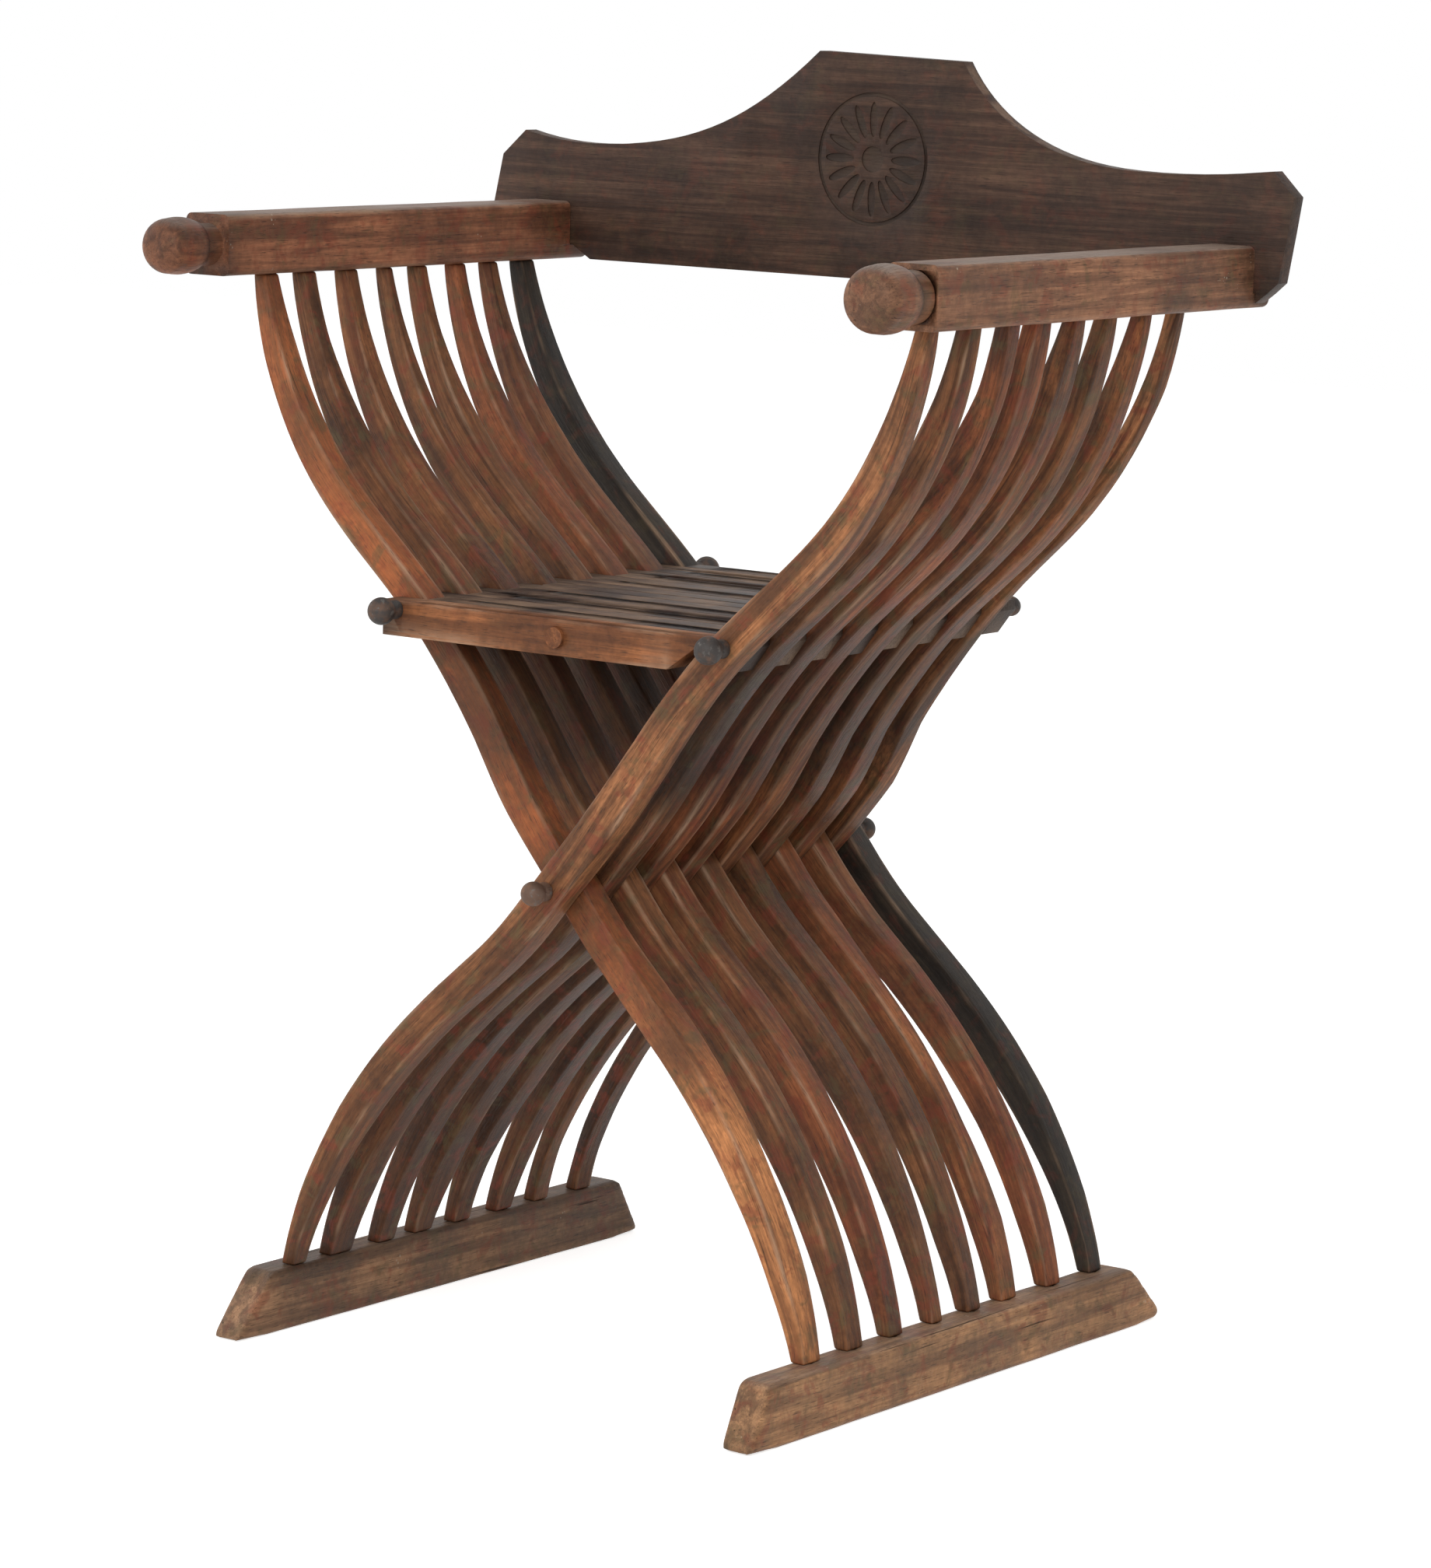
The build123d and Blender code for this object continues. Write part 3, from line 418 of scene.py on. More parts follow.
def walnut_group(grain, stains):
    """Aged walnut: colour, roughness and surface height from its grain, stains and rubbed arrises."""
    tree, enter, leave = new_group(
        "Aged walnut",
        [("Grain vector", "NodeSocketVector", None), ("Object vector", "NodeSocketVector", None),
         ("Seed", "NodeSocketFloat", 0.0), ("Arris", "NodeSocketFloat", 0.0),
         ("Base", "NodeSocketColor", (0.2, 0.1, 0.05, 1.0)),
         ("Dark", "NodeSocketColor", (0.08, 0.04, 0.03, 1.0)),
         ("Bare", "NodeSocketColor", (0.4, 0.3, 0.2, 1.0)),
         ("Red cast", "NodeSocketColor", (0.2, 0.05, 0.03, 1.0)),
         ("Green cast", "NodeSocketColor", (0.08, 0.08, 0.04, 1.0)),
         ("Grime", "NodeSocketColor", (0.02, 0.01, 0.01, 1.0)),
         ("Lime", "NodeSocketColor", (0.5, 0.45, 0.36, 1.0)),
         ("Wear", "NodeSocketFloat", 0.5), ("Stain", "NodeSocketFloat", 0.5),
         ("Speck", "NodeSocketFloat", 0.2), ("Crack", "NodeSocketFloat", 0.4),
         ("Dry", "NodeSocketColor", (0.2, 0.15, 0.1, 1.0)), ("Dryness", "NodeSocketFloat", 0.0),
         ("Soot", "NodeSocketFloat", 0.0)],
        [("Color", "NodeSocketColor"), ("Roughness", "NodeSocketFloat"), ("Height", "NodeSocketFloat")])
    wood = place(tree, "ShaderNodeGroup", -4, 0)
    wood.node_tree = grain
    wire(tree, enter.outputs["Grain vector"], wood.inputs["Vector"])
    wire(tree, enter.outputs["Seed"], wood.inputs["Seed"])
    polish = place(tree, "ShaderNodeGroup", -4, 2)
    polish.node_tree = stains
    wire(tree, enter.outputs["Object vector"], polish.inputs["Vector"])
    wire(tree, enter.outputs["Seed"], polish.inputs["Seed"])

    bands = ramp(tree, wood.outputs["Bands"], 0.36, 0.66, -2, 0)
    fibre = ramp(tree, wood.outputs["Fibre"], 0.36, 0.66, -2, 1)
    ground = blend_colours(tree, maths(tree, "MULTIPLY", bands, 0.85, -1, 0),
                           enter.outputs["Base"], enter.outputs["Dark"], 0, 0)
    broad = ramp(tree, polish.outputs["Broad"], 0.30, 0.70, -1, 2)
    mottle = maths(tree, "MULTIPLY", polish.outputs["Mottle"], 0.30, -1, 4)
    shade = maths(tree, "ADD", maths(tree, "MULTIPLY", broad, 0.86, -1, 3), 0.44, 0, 3)
    shade = maths(tree, "ADD", shade, mottle, 0, 4)
    shaded = blend_colours(tree, 1.0, ground, shade, 1, 0, "MULTIPLY")
    red = maths(tree, "MULTIPLY", polish.outputs["Red"], enter.outputs["Stain"], 1, 2)
    reddened = blend_colours(tree, red, shaded, enter.outputs["Red cast"], 2, 0)
    green = maths(tree, "MULTIPLY", polish.outputs["Green"], enter.outputs["Stain"], 2, 2)
    stained = blend_colours(tree, green, reddened, enter.outputs["Green cast"], 3, 0)
    patchy = ramp(tree, polish.outputs["Broad"], 0.20, 0.55, 2, 6)
    dried = maths(tree, "MULTIPLY", patchy, enter.outputs["Dryness"], 3, 6, True)
    greyed = blend_colours(tree, dried, stained, enter.outputs["Dry"], 3, 1)
    streaked = blend_colours(tree, maths(tree, "MULTIPLY", fibre, 0.42, 3, 1), greyed,
                             enter.outputs["Dark"], 4, 0)
    rub_noise = ramp(tree, polish.outputs["Broad"], 0.40, 0.64, 3, 2)
    rub_fine = ramp(tree, wood.outputs["Fibre"], 0.20, 0.62, 3, 3)
    rub = maths(tree, "MULTIPLY", maths(tree, "MULTIPLY", rub_noise, rub_fine, 4, 2),
                maths(tree, "MULTIPLY", ramp(tree, enter.outputs["Arris"], 0.25, 1.0, 3, 4),
                      enter.outputs["Wear"], 4, 3), 5, 2, True)
    rubbed = blend_colours(tree, rub, streaked, enter.outputs["Bare"], 6, 0)
    pored = blend_colours(tree, maths(tree, "MULTIPLY", wood.outputs["Pores"], 0.55, 6, 1), rubbed,
                          enter.outputs["Grime"], 7, 0)
    crack = maths(tree, "MULTIPLY", wood.outputs["Cracks"], enter.outputs["Crack"], 7, 2)
    cracked = blend_colours(tree, crack, pored, enter.outputs["Grime"], 8, 0)
    speck = maths(tree, "MULTIPLY", polish.outputs["Specks"], enter.outputs["Speck"], 8, 2)
    specked = blend_colours(tree, speck, cracked, enter.outputs["Lime"], 9, 0)
    # Mixes towards the grime colour by the darkening amount, which carries painted shade as well as grime.
    wire(tree, blend_colours(tree, enter.outputs["Soot"], specked, enter.outputs["Grime"], 10, 0),
         leave.inputs["Color"])

    sheen = maths(tree, "ADD", maths(tree, "MULTIPLY", broad, 0.16, 7, 4), 0.47, 8, 4)
    wire(tree, maths(tree, "ADD", sheen, maths(tree, "MULTIPLY", crack, 0.3, 8, 5), 9, 4, True),
         leave.inputs["Roughness"])
    relief = maths(tree, "SUBTRACT", maths(tree, "MULTIPLY", fibre, 0.35, 8, 6),
                   maths(tree, "MULTIPLY", wood.outputs["Pores"], 0.35, 8, 7), 9, 6)
    dents = maths(tree, "MULTIPLY", polish.outputs["Dents"], 0.5, 9, 7)
    relief = maths(tree, "ADD", relief, dents, 10, 6)
    relief = maths(tree, "SUBTRACT", relief, crack, 11, 6)
    wire(tree, relief, leave.inputs["Height"])
    return tree


def iron_group():
    """Wrought iron: dark scale with brown rust and rubbed high spots."""
    tree, enter, leave = new_group(
        "Wrought iron",
        [("Vector", "NodeSocketVector", None), ("Scale colour", "NodeSocketColor", (0.05, 0.05, 0.05, 1.0)),
         ("Rust colour", "NodeSocketColor", (0.1, 0.05, 0.03, 1.0)),
         ("Rubbed colour", "NodeSocketColor", (0.2, 0.19, 0.17, 1.0))],
        [("Color", "NodeSocketColor"), ("Roughness", "NodeSocketFloat"), ("Height", "NodeSocketFloat")])
    pits = noise(tree, enter.outputs["Vector"], 260.0, -3, 0, 4.0, 0.65)
    patches = noise(tree, enter.outputs["Vector"], 90.0, -3, 1, 3.0, 0.6)
    rusted = blend_colours(tree, ramp(tree, patches, 0.45, 0.66, -2, 1), enter.outputs["Scale colour"],
                           enter.outputs["Rust colour"], 0, 0)
    rubbed = blend_colours(tree, ramp(tree, pits, 0.56, 0.72, -2, 0), rusted,
                           enter.outputs["Rubbed colour"], 1, 0)
    wire(tree, rubbed, leave.inputs["Color"])
    wire(tree, ramp(tree, patches, -0.9, 1.3, 0, 2, False), leave.inputs["Roughness"])
    wire(tree, pits, leave.inputs["Height"])
    return tree


GROUPS = {}


def shared_groups():
    """Build the shared node groups once."""
    if not GROUPS:
        GROUPS["grain"] = grain_group()
        GROUPS["stains"] = stain_group()
        GROUPS["walnut"] = walnut_group(GROUPS["grain"], GROUPS["stains"])
        GROUPS["iron"] = iron_group()
    return GROUPS


def new_surface(name, group, strength, distance):
    """A Principled material that takes colour, roughness and height from a shared group."""
    material = bpy.data.materials.new(name)
    material.use_nodes = True
    tree = material.node_tree
    tree.nodes.clear()
    out = place(tree, "ShaderNodeOutputMaterial", 6, 0)
    shader = place(tree, "ShaderNodeBsdfPrincipled", 5, 0)
    wire(tree, shader.outputs[0], out.inputs["Surface"])
    pattern = place(tree, "ShaderNodeGroup", 3, 0)
    pattern.node_tree = group
    wire(tree, pattern.outputs["Color"], shader.inputs["Base Color"])
    wire(tree, pattern.outputs["Roughness"], shader.inputs["Roughness"])
    relief = place(tree, "ShaderNodeBump", 4, 2)
    relief.inputs["Strength"].default_value = strength
    relief.inputs["Distance"].default_value = distance
    wire(tree, pattern.outputs["Height"], relief.inputs["Height"])
    wire(tree, relief.outputs[0], shader.inputs["Normal"])
    return material, tree, shader, pattern


def walnut_material(name, base, seed, run="X", other=None, change=0.0, wear=0.8, stain=0.35,
                    speck=0.0, crack=0.5, bump=0.5, dryness=0.0, soot=None):
    """Aged walnut whose grain runs along an axis, or along the course that a stave carries.

    Where other is given, it is the colour above the pivot and base the colour below it, and change
    is how far above the pivot one turns into the other. Dryness greys the faces that look up. The
    piece's own darkening attribute darkens what it marks, as painted shade in some places and as
    grime in others; with "SHADE" a painted shade darkens the band between a little above the pivot
    and the seat.
    """
    wood = bpy.context.scene.chair_wood
    material, tree, shader, walnut = new_surface(name, shared_groups()["walnut"], bump, 0.0008)
    here = place(tree, "ShaderNodeTexCoord", -2, 1).outputs["Object"]
    wire(tree, here, walnut.inputs["Object vector"])
    if run == "STAVE":
        course = place(tree, "ShaderNodeAttribute", -2, 0, attribute_name="course")
        arris_source = place(tree, "ShaderNodeAttribute", -2, 2, attribute_name="across")
        wire(tree, course.outputs["Vector"], walnut.inputs["Grain vector"])
        parts = place(tree, "ShaderNodeSeparateXYZ", -1, 2)
        wire(tree, arris_source.outputs["Vector"], parts.inputs[0])
        nearest = maths(tree, "MINIMUM", maths(tree, "ABSOLUTE", parts.outputs[0], None, 0, 2),
                        maths(tree, "ABSOLUTE", parts.outputs[1], None, 0, 3), 1, 2)
        wire(tree, ramp(tree, nearest, 0.45, 1.0, 2, 2, False), walnut.inputs["Arris"])
    else:
        parts = place(tree, "ShaderNodeSeparateXYZ", -1, 0)
        wire(tree, here, parts.inputs[0])
        course = place(tree, "ShaderNodeCombineXYZ", 0, 0)
        order = {"X": (0, 1, 2), "Y": (1, 0, 2), "Z": (2, 0, 1)}[run]
        for target, source in enumerate(order):
            wire(tree, parts.outputs[source], course.inputs[target])
        wire(tree, course.outputs[0], walnut.inputs["Grain vector"])
        near = place(tree, "ShaderNodeAttribute", 0, 2, attribute_name="arris")
        wire(tree, near.outputs["Fac"], walnut.inputs["Arris"])
    if other is None:
        walnut.inputs["Base"].default_value = (*base, 1.0)
    else:
        height = place(tree, "ShaderNodeSeparateXYZ", 0, 5)
        wire(tree, here, height.inputs[0])
        middle = PIVOT_HEIGHT + change
        above = ramp(tree, height.outputs[2], middle - TONE_BLEND, middle + TONE_BLEND, 1, 5)
        wire(tree, blend_colours(tree, above, base, other, 2, 5), walnut.inputs["Base"])
    dark = tuple(value * kept for value, kept in zip(base, DARK_GRAIN))
    for label, tone in (("Dark", dark), ("Bare", wood.bare), ("Red cast", wood.rust),
                        ("Green cast", wood.moss), ("Grime", wood.grime_and_shade), ("Lime", wood.lime),
                        ("Dry", wood.dry)):
        walnut.inputs[label].default_value = (*tone, 1.0)
    for label, value in (("Seed", seed), ("Wear", wear), ("Stain", stain), ("Speck", speck),
                         ("Crack", crack)):
        walnut.inputs[label].default_value = value
    if dryness:
        facing = place(tree, "ShaderNodeSeparateXYZ", 0, 7)
        wire(tree, place(tree, "ShaderNodeTexCoord", -1, 7).outputs["Normal"], facing.inputs[0])
        upward = ramp(tree, facing.outputs[2], 0.55, 0.95, 1, 7)
        wire(tree, maths(tree, "MULTIPLY", upward, dryness, 2, 7), walnut.inputs["Dryness"])
    if soot == "PIECE":
        shade_and_grime_node = place(tree, "ShaderNodeAttribute", 1, 8, attribute_name="soot")
        wire(tree, shade_and_grime_node.outputs["Fac"], walnut.inputs["Soot"])
    if soot == "SHADE":
        # Painted shade: the staves darken in the band between a little above the pivot and a little below the
        # seat rod.
        level = place(tree, "ShaderNodeSeparateXYZ", 0, 8)
        wire(tree, here, level.inputs[0])
        over = ramp(tree, level.outputs[2], PIVOT_HEIGHT + 0.03, PIVOT_HEIGHT + 0.08, 1, 8)
        under = ramp(tree, level.outputs[2], SEAT_ROD_HEIGHT + 0.03, SEAT_ROD_HEIGHT - 0.03, 1, 9)
        shaded = maths(tree, "MULTIPLY", maths(tree, "MULTIPLY", over, under, 2, 8), SHADE_DEPTH, 3, 8)
        wire(tree, shaded, walnut.inputs["Soot"])
    shader.inputs["Specular IOR Level"].default_value = 0.20
    shader.inputs["Coat Weight"].default_value = 0.025
    shader.inputs["Coat Roughness"].default_value = 0.35
    return material


def iron_material(name, scale, rust):
    """Dark forged iron for the rods and knobs, with its scale and its rust."""
    material, tree, shader, iron = new_surface(name, shared_groups()["iron"], 0.55, 0.0006)
    wire(tree, place(tree, "ShaderNodeTexCoord", 1, 0).outputs["Object"], iron.inputs["Vector"])
    iron.inputs["Scale colour"].default_value = (*scale, 1.0)
    iron.inputs["Rust colour"].default_value = (*rust, 1.0)
    iron.inputs["Rubbed colour"].default_value = (0.135, 0.125, 0.115, 1.0)
    shader.inputs["Metallic"].default_value = 0.55
    return material


# --- Staves --------------------------------------------------------------------------------------

def mark_course(piece):
    """Write the way along a stave, and its places across and through it, as attributes.

    The stave rises steadily from foot to arm, so its middle line is a polynomial of the height.
    """
    points = coordinates(piece)
    x, y, z = points.T
    body = (z > FOOT_TOP) & (z < ARM_UNDERSIDE)
    middle_height = (ARM_UNDERSIDE + FOOT_TOP) / 2
    half_rise = (ARM_UNDERSIDE - FOOT_TOP) / 2
    rise = np.clip((z - middle_height) / half_rise, -1.0, 1.0)
    line = np.polynomial.Polynomial.fit(rise[body], x[body], 9, domain=[-1, 1])
    lean = line.deriv()(rise) / half_rise
    squeeze = 1.0 / np.sqrt(1.0 + lean ** 2)
    across = (x - line(rise)) * squeeze
    ladder = np.linspace(-1.0, 1.0, 400)
    rungs = np.sqrt(1.0 + (line.deriv()(ladder) / half_rise) ** 2) * half_rise
    travelled = np.concatenate([[0.0], np.cumsum((rungs[1:] + rungs[:-1]) / 2 * np.diff(ladder))])
    along = np.interp(rise, ladder, travelled)
    bins = np.clip(((rise + 1.0) * 20).astype(int), 0, 39)
    half_width = np.ones(40)
    low_y = np.zeros(40)
    high_y = np.ones(40)
    for index in range(40):
        inside = (np.abs(bins - index) <= 1) & body
        if inside.any():
            half_width[index] = np.abs(across[inside]).max()
            low_y[index] = y[inside].min()
            high_y[index] = y[inside].max()
    centres = (np.arange(40) + 0.5) / 20 - 1.0
    width_here = np.interp(rise, centres, half_width)
    middle = (np.interp(rise, centres, low_y) + np.interp(rise, centres, high_y)) / 2
    half_depth = (np.interp(rise, centres, high_y) - np.interp(rise, centres, low_y)) / 2
    write_attribute(piece, "course", "FLOAT_VECTOR", np.stack([along, across, y], 1))
    write_attribute(piece, "across", "FLOAT_VECTOR",
                    np.stack([across / width_here, (y - middle) / half_depth, rise], 1))


def tool_marks(piece, depth, scale, seed):
    """Let the faces waver a little, as hand-worked wood does."""
    cloud = bpy.data.textures.new(f"{piece.name} marks", "CLOUDS")
    cloud.noise_scale = scale
    cloud.noise_depth = 1
    waver = piece.modifiers.new("Marks", "DISPLACE")
    waver.texture = cloud
    waver.texture_coords = "LOCAL"
    waver.strength = depth
    waver.mid_level = 0.62 + 0.01 * (seed % 3)
    pick_only(piece)
    bpy.ops.object.modifier_apply(modifier="Marks")
    bpy.data.textures.remove(cloud)


def triangles_of(node):
    """The triangles of a CAD node, as an array of three corners each."""
    mesh = NODES[node].data
    corners_used = np.empty(len(mesh.loops), dtype=np.int32)
    mesh.loops.foreach_get("vertex_index", corners_used)
    return coordinates(NODES[node])[corners_used].reshape(-1, 3, 3)


def level_corners(triangles, height):
    """The four corners of a stave's level section, by side and face."""
    following = np.roll(triangles, -1, axis=1)
    crossing = (triangles[..., 2] > height) != (following[..., 2] > height)
    start, end = triangles[crossing], following[crossing]
    part = (height - start[:, 2]) / (end[:, 2] - start[:, 2])
    section = start[:, :2] + (end - start)[:, :2] * part[:, None]
    middle = (section.max(0) + section.min(0)) / 2
    reach = (section.max(0) - section.min(0)) / 2
    spread = (section - middle) / reach
    return {(side, face): section[np.argmax(spread[:, 0] * side + spread[:, 1] * face)]
            for side in (-1, 1) for face in (-1, 1)}


def bore(piece, across, height, radius):
    """Drill a hole from front to back."""
    bpy.ops.object.select_all(action="DESELECT")
    bpy.ops.mesh.primitive_cylinder_add(vertices=32, radius=radius, depth=1.0,
                                        location=(across, 0.0, height), rotation=(math.pi / 2, 0.0, 0.0))
    drill = bpy.context.active_object
    hole = piece.modifiers.new("Hole", "BOOLEAN")
    hole.object = drill
    hole.operation = "DIFFERENCE"
    hole.solver = "EXACT"
    pick_only(piece)
    bpy.ops.object.modifier_apply(modifier="Hole")
    pick_only(drill)
    bpy.ops.object.delete()


def make_stave(node, material, seed):
    """One stave bent along its arrises, rubbed and bored, with grain that follows its bend."""
    sizes = bpy.context.scene.chair_sizes
    triangles = triangles_of(node)
    bpy.ops.mesh.primitive_cube_add(size=1.0, location=(0.0, 0.0, 0.0))
    piece = bpy.context.active_object
    piece.name = f"{node}_wood"
    piece.data.name = f"{node}_wood"
    rise = ARM_UNDERSIDE - FOOT_TOP
    cut_across(piece, "Z", steps(-0.5, 0.5, sizes.ring_step / rise))
    rings = {}
    for vertex in piece.data.vertices:
        height = FOOT_TOP + (vertex.co.z + 0.5) * rise
        level = round(min(max(height, FOOT_TOP + SHOULDER), ARM_UNDERSIDE - SHOULDER), 6)
        if level not in rings:
            rings[level] = level_corners(triangles, level)
        side, face = (int(math.copysign(1, place_now)) for place_now in vertex.co.xy)
        across, depth = rings[level][side, face]
        vertex.co = (across, depth, height)
    round_arrises(piece, sizes.stave_arris)
    tool_marks(piece, sizes.waviness, 0.045, seed)
    rod = JOINT_AT["left_seat_fold" if node in LEFT_STAVES else "right_seat_fold"]
    for across, height in ((0.0, PIVOT_HEIGHT), (rod[0], rod[2])):
        bore(piece, across, height, BORE_RADIUS)
    pick_only(piece)
    bpy.ops.object.shade_smooth_by_angle(angle=SMOOTH_ANGLE)
    mark_course(piece)
    coat(piece, material)
    stand_for(piece, node)


class CHAIR_OT_staves(bpy.types.Operator):
    """Dress the sixteen curved staves"""

    bl_idname = "chair.staves"
    bl_label = "Staves"

    def execute(self, context):
        wood = context.scene.chair_wood
        bright, amber, rose, warm, ruddy, umber, shaded_deep, black = (
            tuple(tone) for tone in (wood.bright, wood.amber, wood.rose, wood.warm, wood.ruddy,
                                     wood.umber, wood.shaded_deep, wood.black))
        left_tones = ((bright, amber), (umber, umber), (ruddy, umber), (umber, umber), (umber, umber),
                      (warm, ruddy), (ruddy, umber), (black, black))
        # The deep tone on most right-hand staves below the pivot is painted shade.
        right_tones = ((umber, rose), (shaded_deep, umber), (shaded_deep, ruddy), (shaded_deep, ruddy), (shaded_deep, warm),
                       (shaded_deep, umber), (umber, warm), (shaded_deep, rose))
        for names, tones, shift in ((LEFT_STAVES, left_tones, 0), (RIGHT_STAVES, right_tones, 8)):
            for index, (node, (below, above)) in enumerate(zip(names, tones)):
                seed = 1.7 * (index + shift) + 0.4
                material = walnut_material(f"{node} walnut", below, seed, "STAVE", other=above,
                                           change=-0.09 if shift == 0 else 0.0, wear=0.85,
                                           stain=0.15 if below == black else 0.55,
                                           # Every stave but the front right-hand one gets the painted shade
                                           # band below the seat.
                                           soot=None if node == RIGHT_STAVES[0] else "SHADE")
                make_stave(node, material, index + shift)
        return {"FINISHED"}


# --- Arms, feet, seat and board -----------------------------------------------------------------

class CHAIR_OT_arms(bpy.types.Operator):
    """Dress the two arms with their round front ends"""

    bl_idname = "chair.arms"
    bl_label = "Arms"

    def execute(self, context):
        wood = context.scene.chair_wood
        sizes = context.scene.chair_sizes
        for node, seed, tone, patch_at, patch_depth, rear_shadow_depth in (
                ("left_arm", 31.3, wood.left_rail, -0.175, 0.40, 0.35),
                ("right_arm", 37.9, wood.right_rail, 0.075, 0.32, 0.60)):
            piece = merged_copy(node, f"{node}_wood")
            low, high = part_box(node)
            cut_across(piece, "Y", steps(low.y, high.y, 0.012))
            cut_across(piece, "Z", [low.z + sizes.worn_band, high.z - sizes.worn_band])
            round_arrises(piece, sizes.rail_arris, 2)
            tool_marks(piece, sizes.waviness, 0.06, 1)
            mark_arrises(piece, sizes.worn_band * 1.4)
            along = coordinates(piece)[:, 1]
            # Painted shade: neck darkens the groove behind the bun, and rear is a painted shadow where the
            # arm's rear end meets the back board; patch darkens a spot along the arm and nose darkens its
            # front end.
            neck = np.exp(-((along - low.y - sizes.bun_length) / 0.0035) ** 2) * 0.75
            patch = np.exp(-((along - patch_at) / 0.022) ** 2) * patch_depth
            rear = np.clip((along - high.y + 0.030) / 0.025, 0.0, 1.0) * rear_shadow_depth
            nose = np.clip((low.y + 0.014 - along) / 0.010, 0.0, 1.0) * 0.22
            write_attribute(piece, "soot", "FLOAT", np.maximum.reduce([neck, patch, rear, nose]))
            coat(piece, walnut_material(f"{node} walnut", tuple(tone), seed, "Y", wear=0.9, stain=0.45,
                                        speck=0.6, crack=0.7, dryness=0.8, soot="PIECE"))
            stand_for(piece, node)
        return {"FINISHED"}


def rub_round(piece, grid, reach):
    """Skin a foot with small even squares, rub its arrises round and blunt its two tips."""
    skin = piece.modifiers.new("Skin", "REMESH")
    skin.mode = "VOXEL"
    skin.voxel_size = grid
    pick_only(piece)
    bpy.ops.object.modifier_apply(modifier="Skin")
    along = coordinates(piece)[:, 1]
    tips = piece.vertex_groups.new(name="tips")
    near = np.minimum(along - along.min(), along.max() - along)
    for index in np.nonzero(near < reach)[0]:
        tips.add([int(index)], float(1.0 - near[index] / reach), "REPLACE")
    for name, turns, group in (("Rub", 4, ""), ("Blunt", 45, "tips")):
        rub = piece.modifiers.new(name, "SMOOTH")
        rub.factor = 0.5
        rub.iterations = turns
        rub.vertex_group = group
    thin = piece.modifiers.new("Thin", "DECIMATE")
    thin.ratio = 0.4
    for name in ("Rub", "Blunt", "Thin"):
        bpy.ops.object.modifier_apply(modifier=name)
    piece.vertex_groups.clear()
    bpy.ops.object.shade_smooth()


class CHAIR_OT_feet(bpy.types.Operator):
    """Dress the two rail feet"""

    bl_idname = "chair.feet"
    bl_label = "Feet"

    def execute(self, context):
        wood = context.scene.chair_wood
        sizes = context.scene.chair_sizes
        tones = {"left_foot": tuple(wood.left_foot), "right_foot": tuple(wood.right_foot)}
        for index, (node, tone) in enumerate(tones.items()):
            piece = merged_copy(node, f"{node}_wood")
            rub_round(piece, sizes.foot_grid, sizes.foot_nose)
            tool_marks(piece, sizes.waviness, 0.05, 2)
            for vertex in piece.data.vertices:
                vertex.co.z = max(vertex.co.z, 0.0)
            mark_arrises(piece, sizes.worn_band)
            points = coordinates(piece)
            ends = np.minimum(points[:, 1] - points[:, 1].min(), points[:, 1].max() - points[:, 1])
            end_grain = 0.22 * np.clip(1.0 - ends / 0.016, 0.0, 1.0)
            # Painted shade on the left foot: upper and rearward darken it towards its top and towards its
            # rear; the right foot gets a dark patch instead, and end_grain darkens the ends of both.
            upper_shade = np.clip(points[:, 2] / FOOT_TOP - 0.55, 0.0, 0.4) * 1.2
            rearward_shade = np.clip((points[:, 1] + 0.12) / 0.30, 0.0, 1.0) * 0.35
            patch = np.exp(-((points[:, 1] - 0.155) / 0.035) ** 2) * 0.30
            body_shade_and_patch = patch if index else np.maximum(upper_shade, rearward_shade)
            write_attribute(piece, "soot", "FLOAT", np.maximum(body_shade_and_patch, end_grain))
            coat(piece, walnut_material(f"{node} walnut", tone, 41.5 + 3.3 * index, "Y", wear=0.85,
                                        stain=0.5, speck=0.5, crack=0.8, dryness=0.35, soot="PIECE"))
            stand_for(piece, node)
        return {"FINISHED"}


class CHAIR_OT_seat(bpy.types.Operator):
    """Dress the seat slats and the middle dowel"""

    bl_idname = "chair.seat"
    bl_label = "Seat"

    def execute(self, context):
        wood = context.scene.chair_wood
        sizes = context.scene.chair_sizes
        front = SLATS[0]
        for index, node in enumerate(SLATS):
            piece = merged_copy(node, f"{node}_wood")
            low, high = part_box(node)
            cut_across(piece, "X", steps(low.x, high.x, 0.016))
            round_arrises(piece, sizes.slat_arris, 2)
            mark_arrises(piece, sizes.worn_band)
            # Painted shade: the slats darken towards their ends, where they pass between the staves.
            outward = np.abs(coordinates(piece)[:, 0]) - SEAT_ROD_X
            write_attribute(piece, "soot", "FLOAT", 0.75 * np.clip((outward + 0.02) / 0.03, 0.0, 1.0))
            tone = tuple(wood.warm) if node == front else tuple(wood.seat)
            coat(piece, walnut_material(f"{node} walnut", tone, 53.1 + 1.9 * index, "X", wear=0.7,
                                        stain=0.08, crack=0.5, dryness=0.05, soot="PIECE"))
            stand_for(piece, node)
        dowel = walnut_material("Dowel walnut", tuple(wood.warm), 97.0, "Y", wear=0.2, stain=0.2)
        for node in DOWELS:
            dress(NODES[node], dowel)
        return {"FINISHED"}


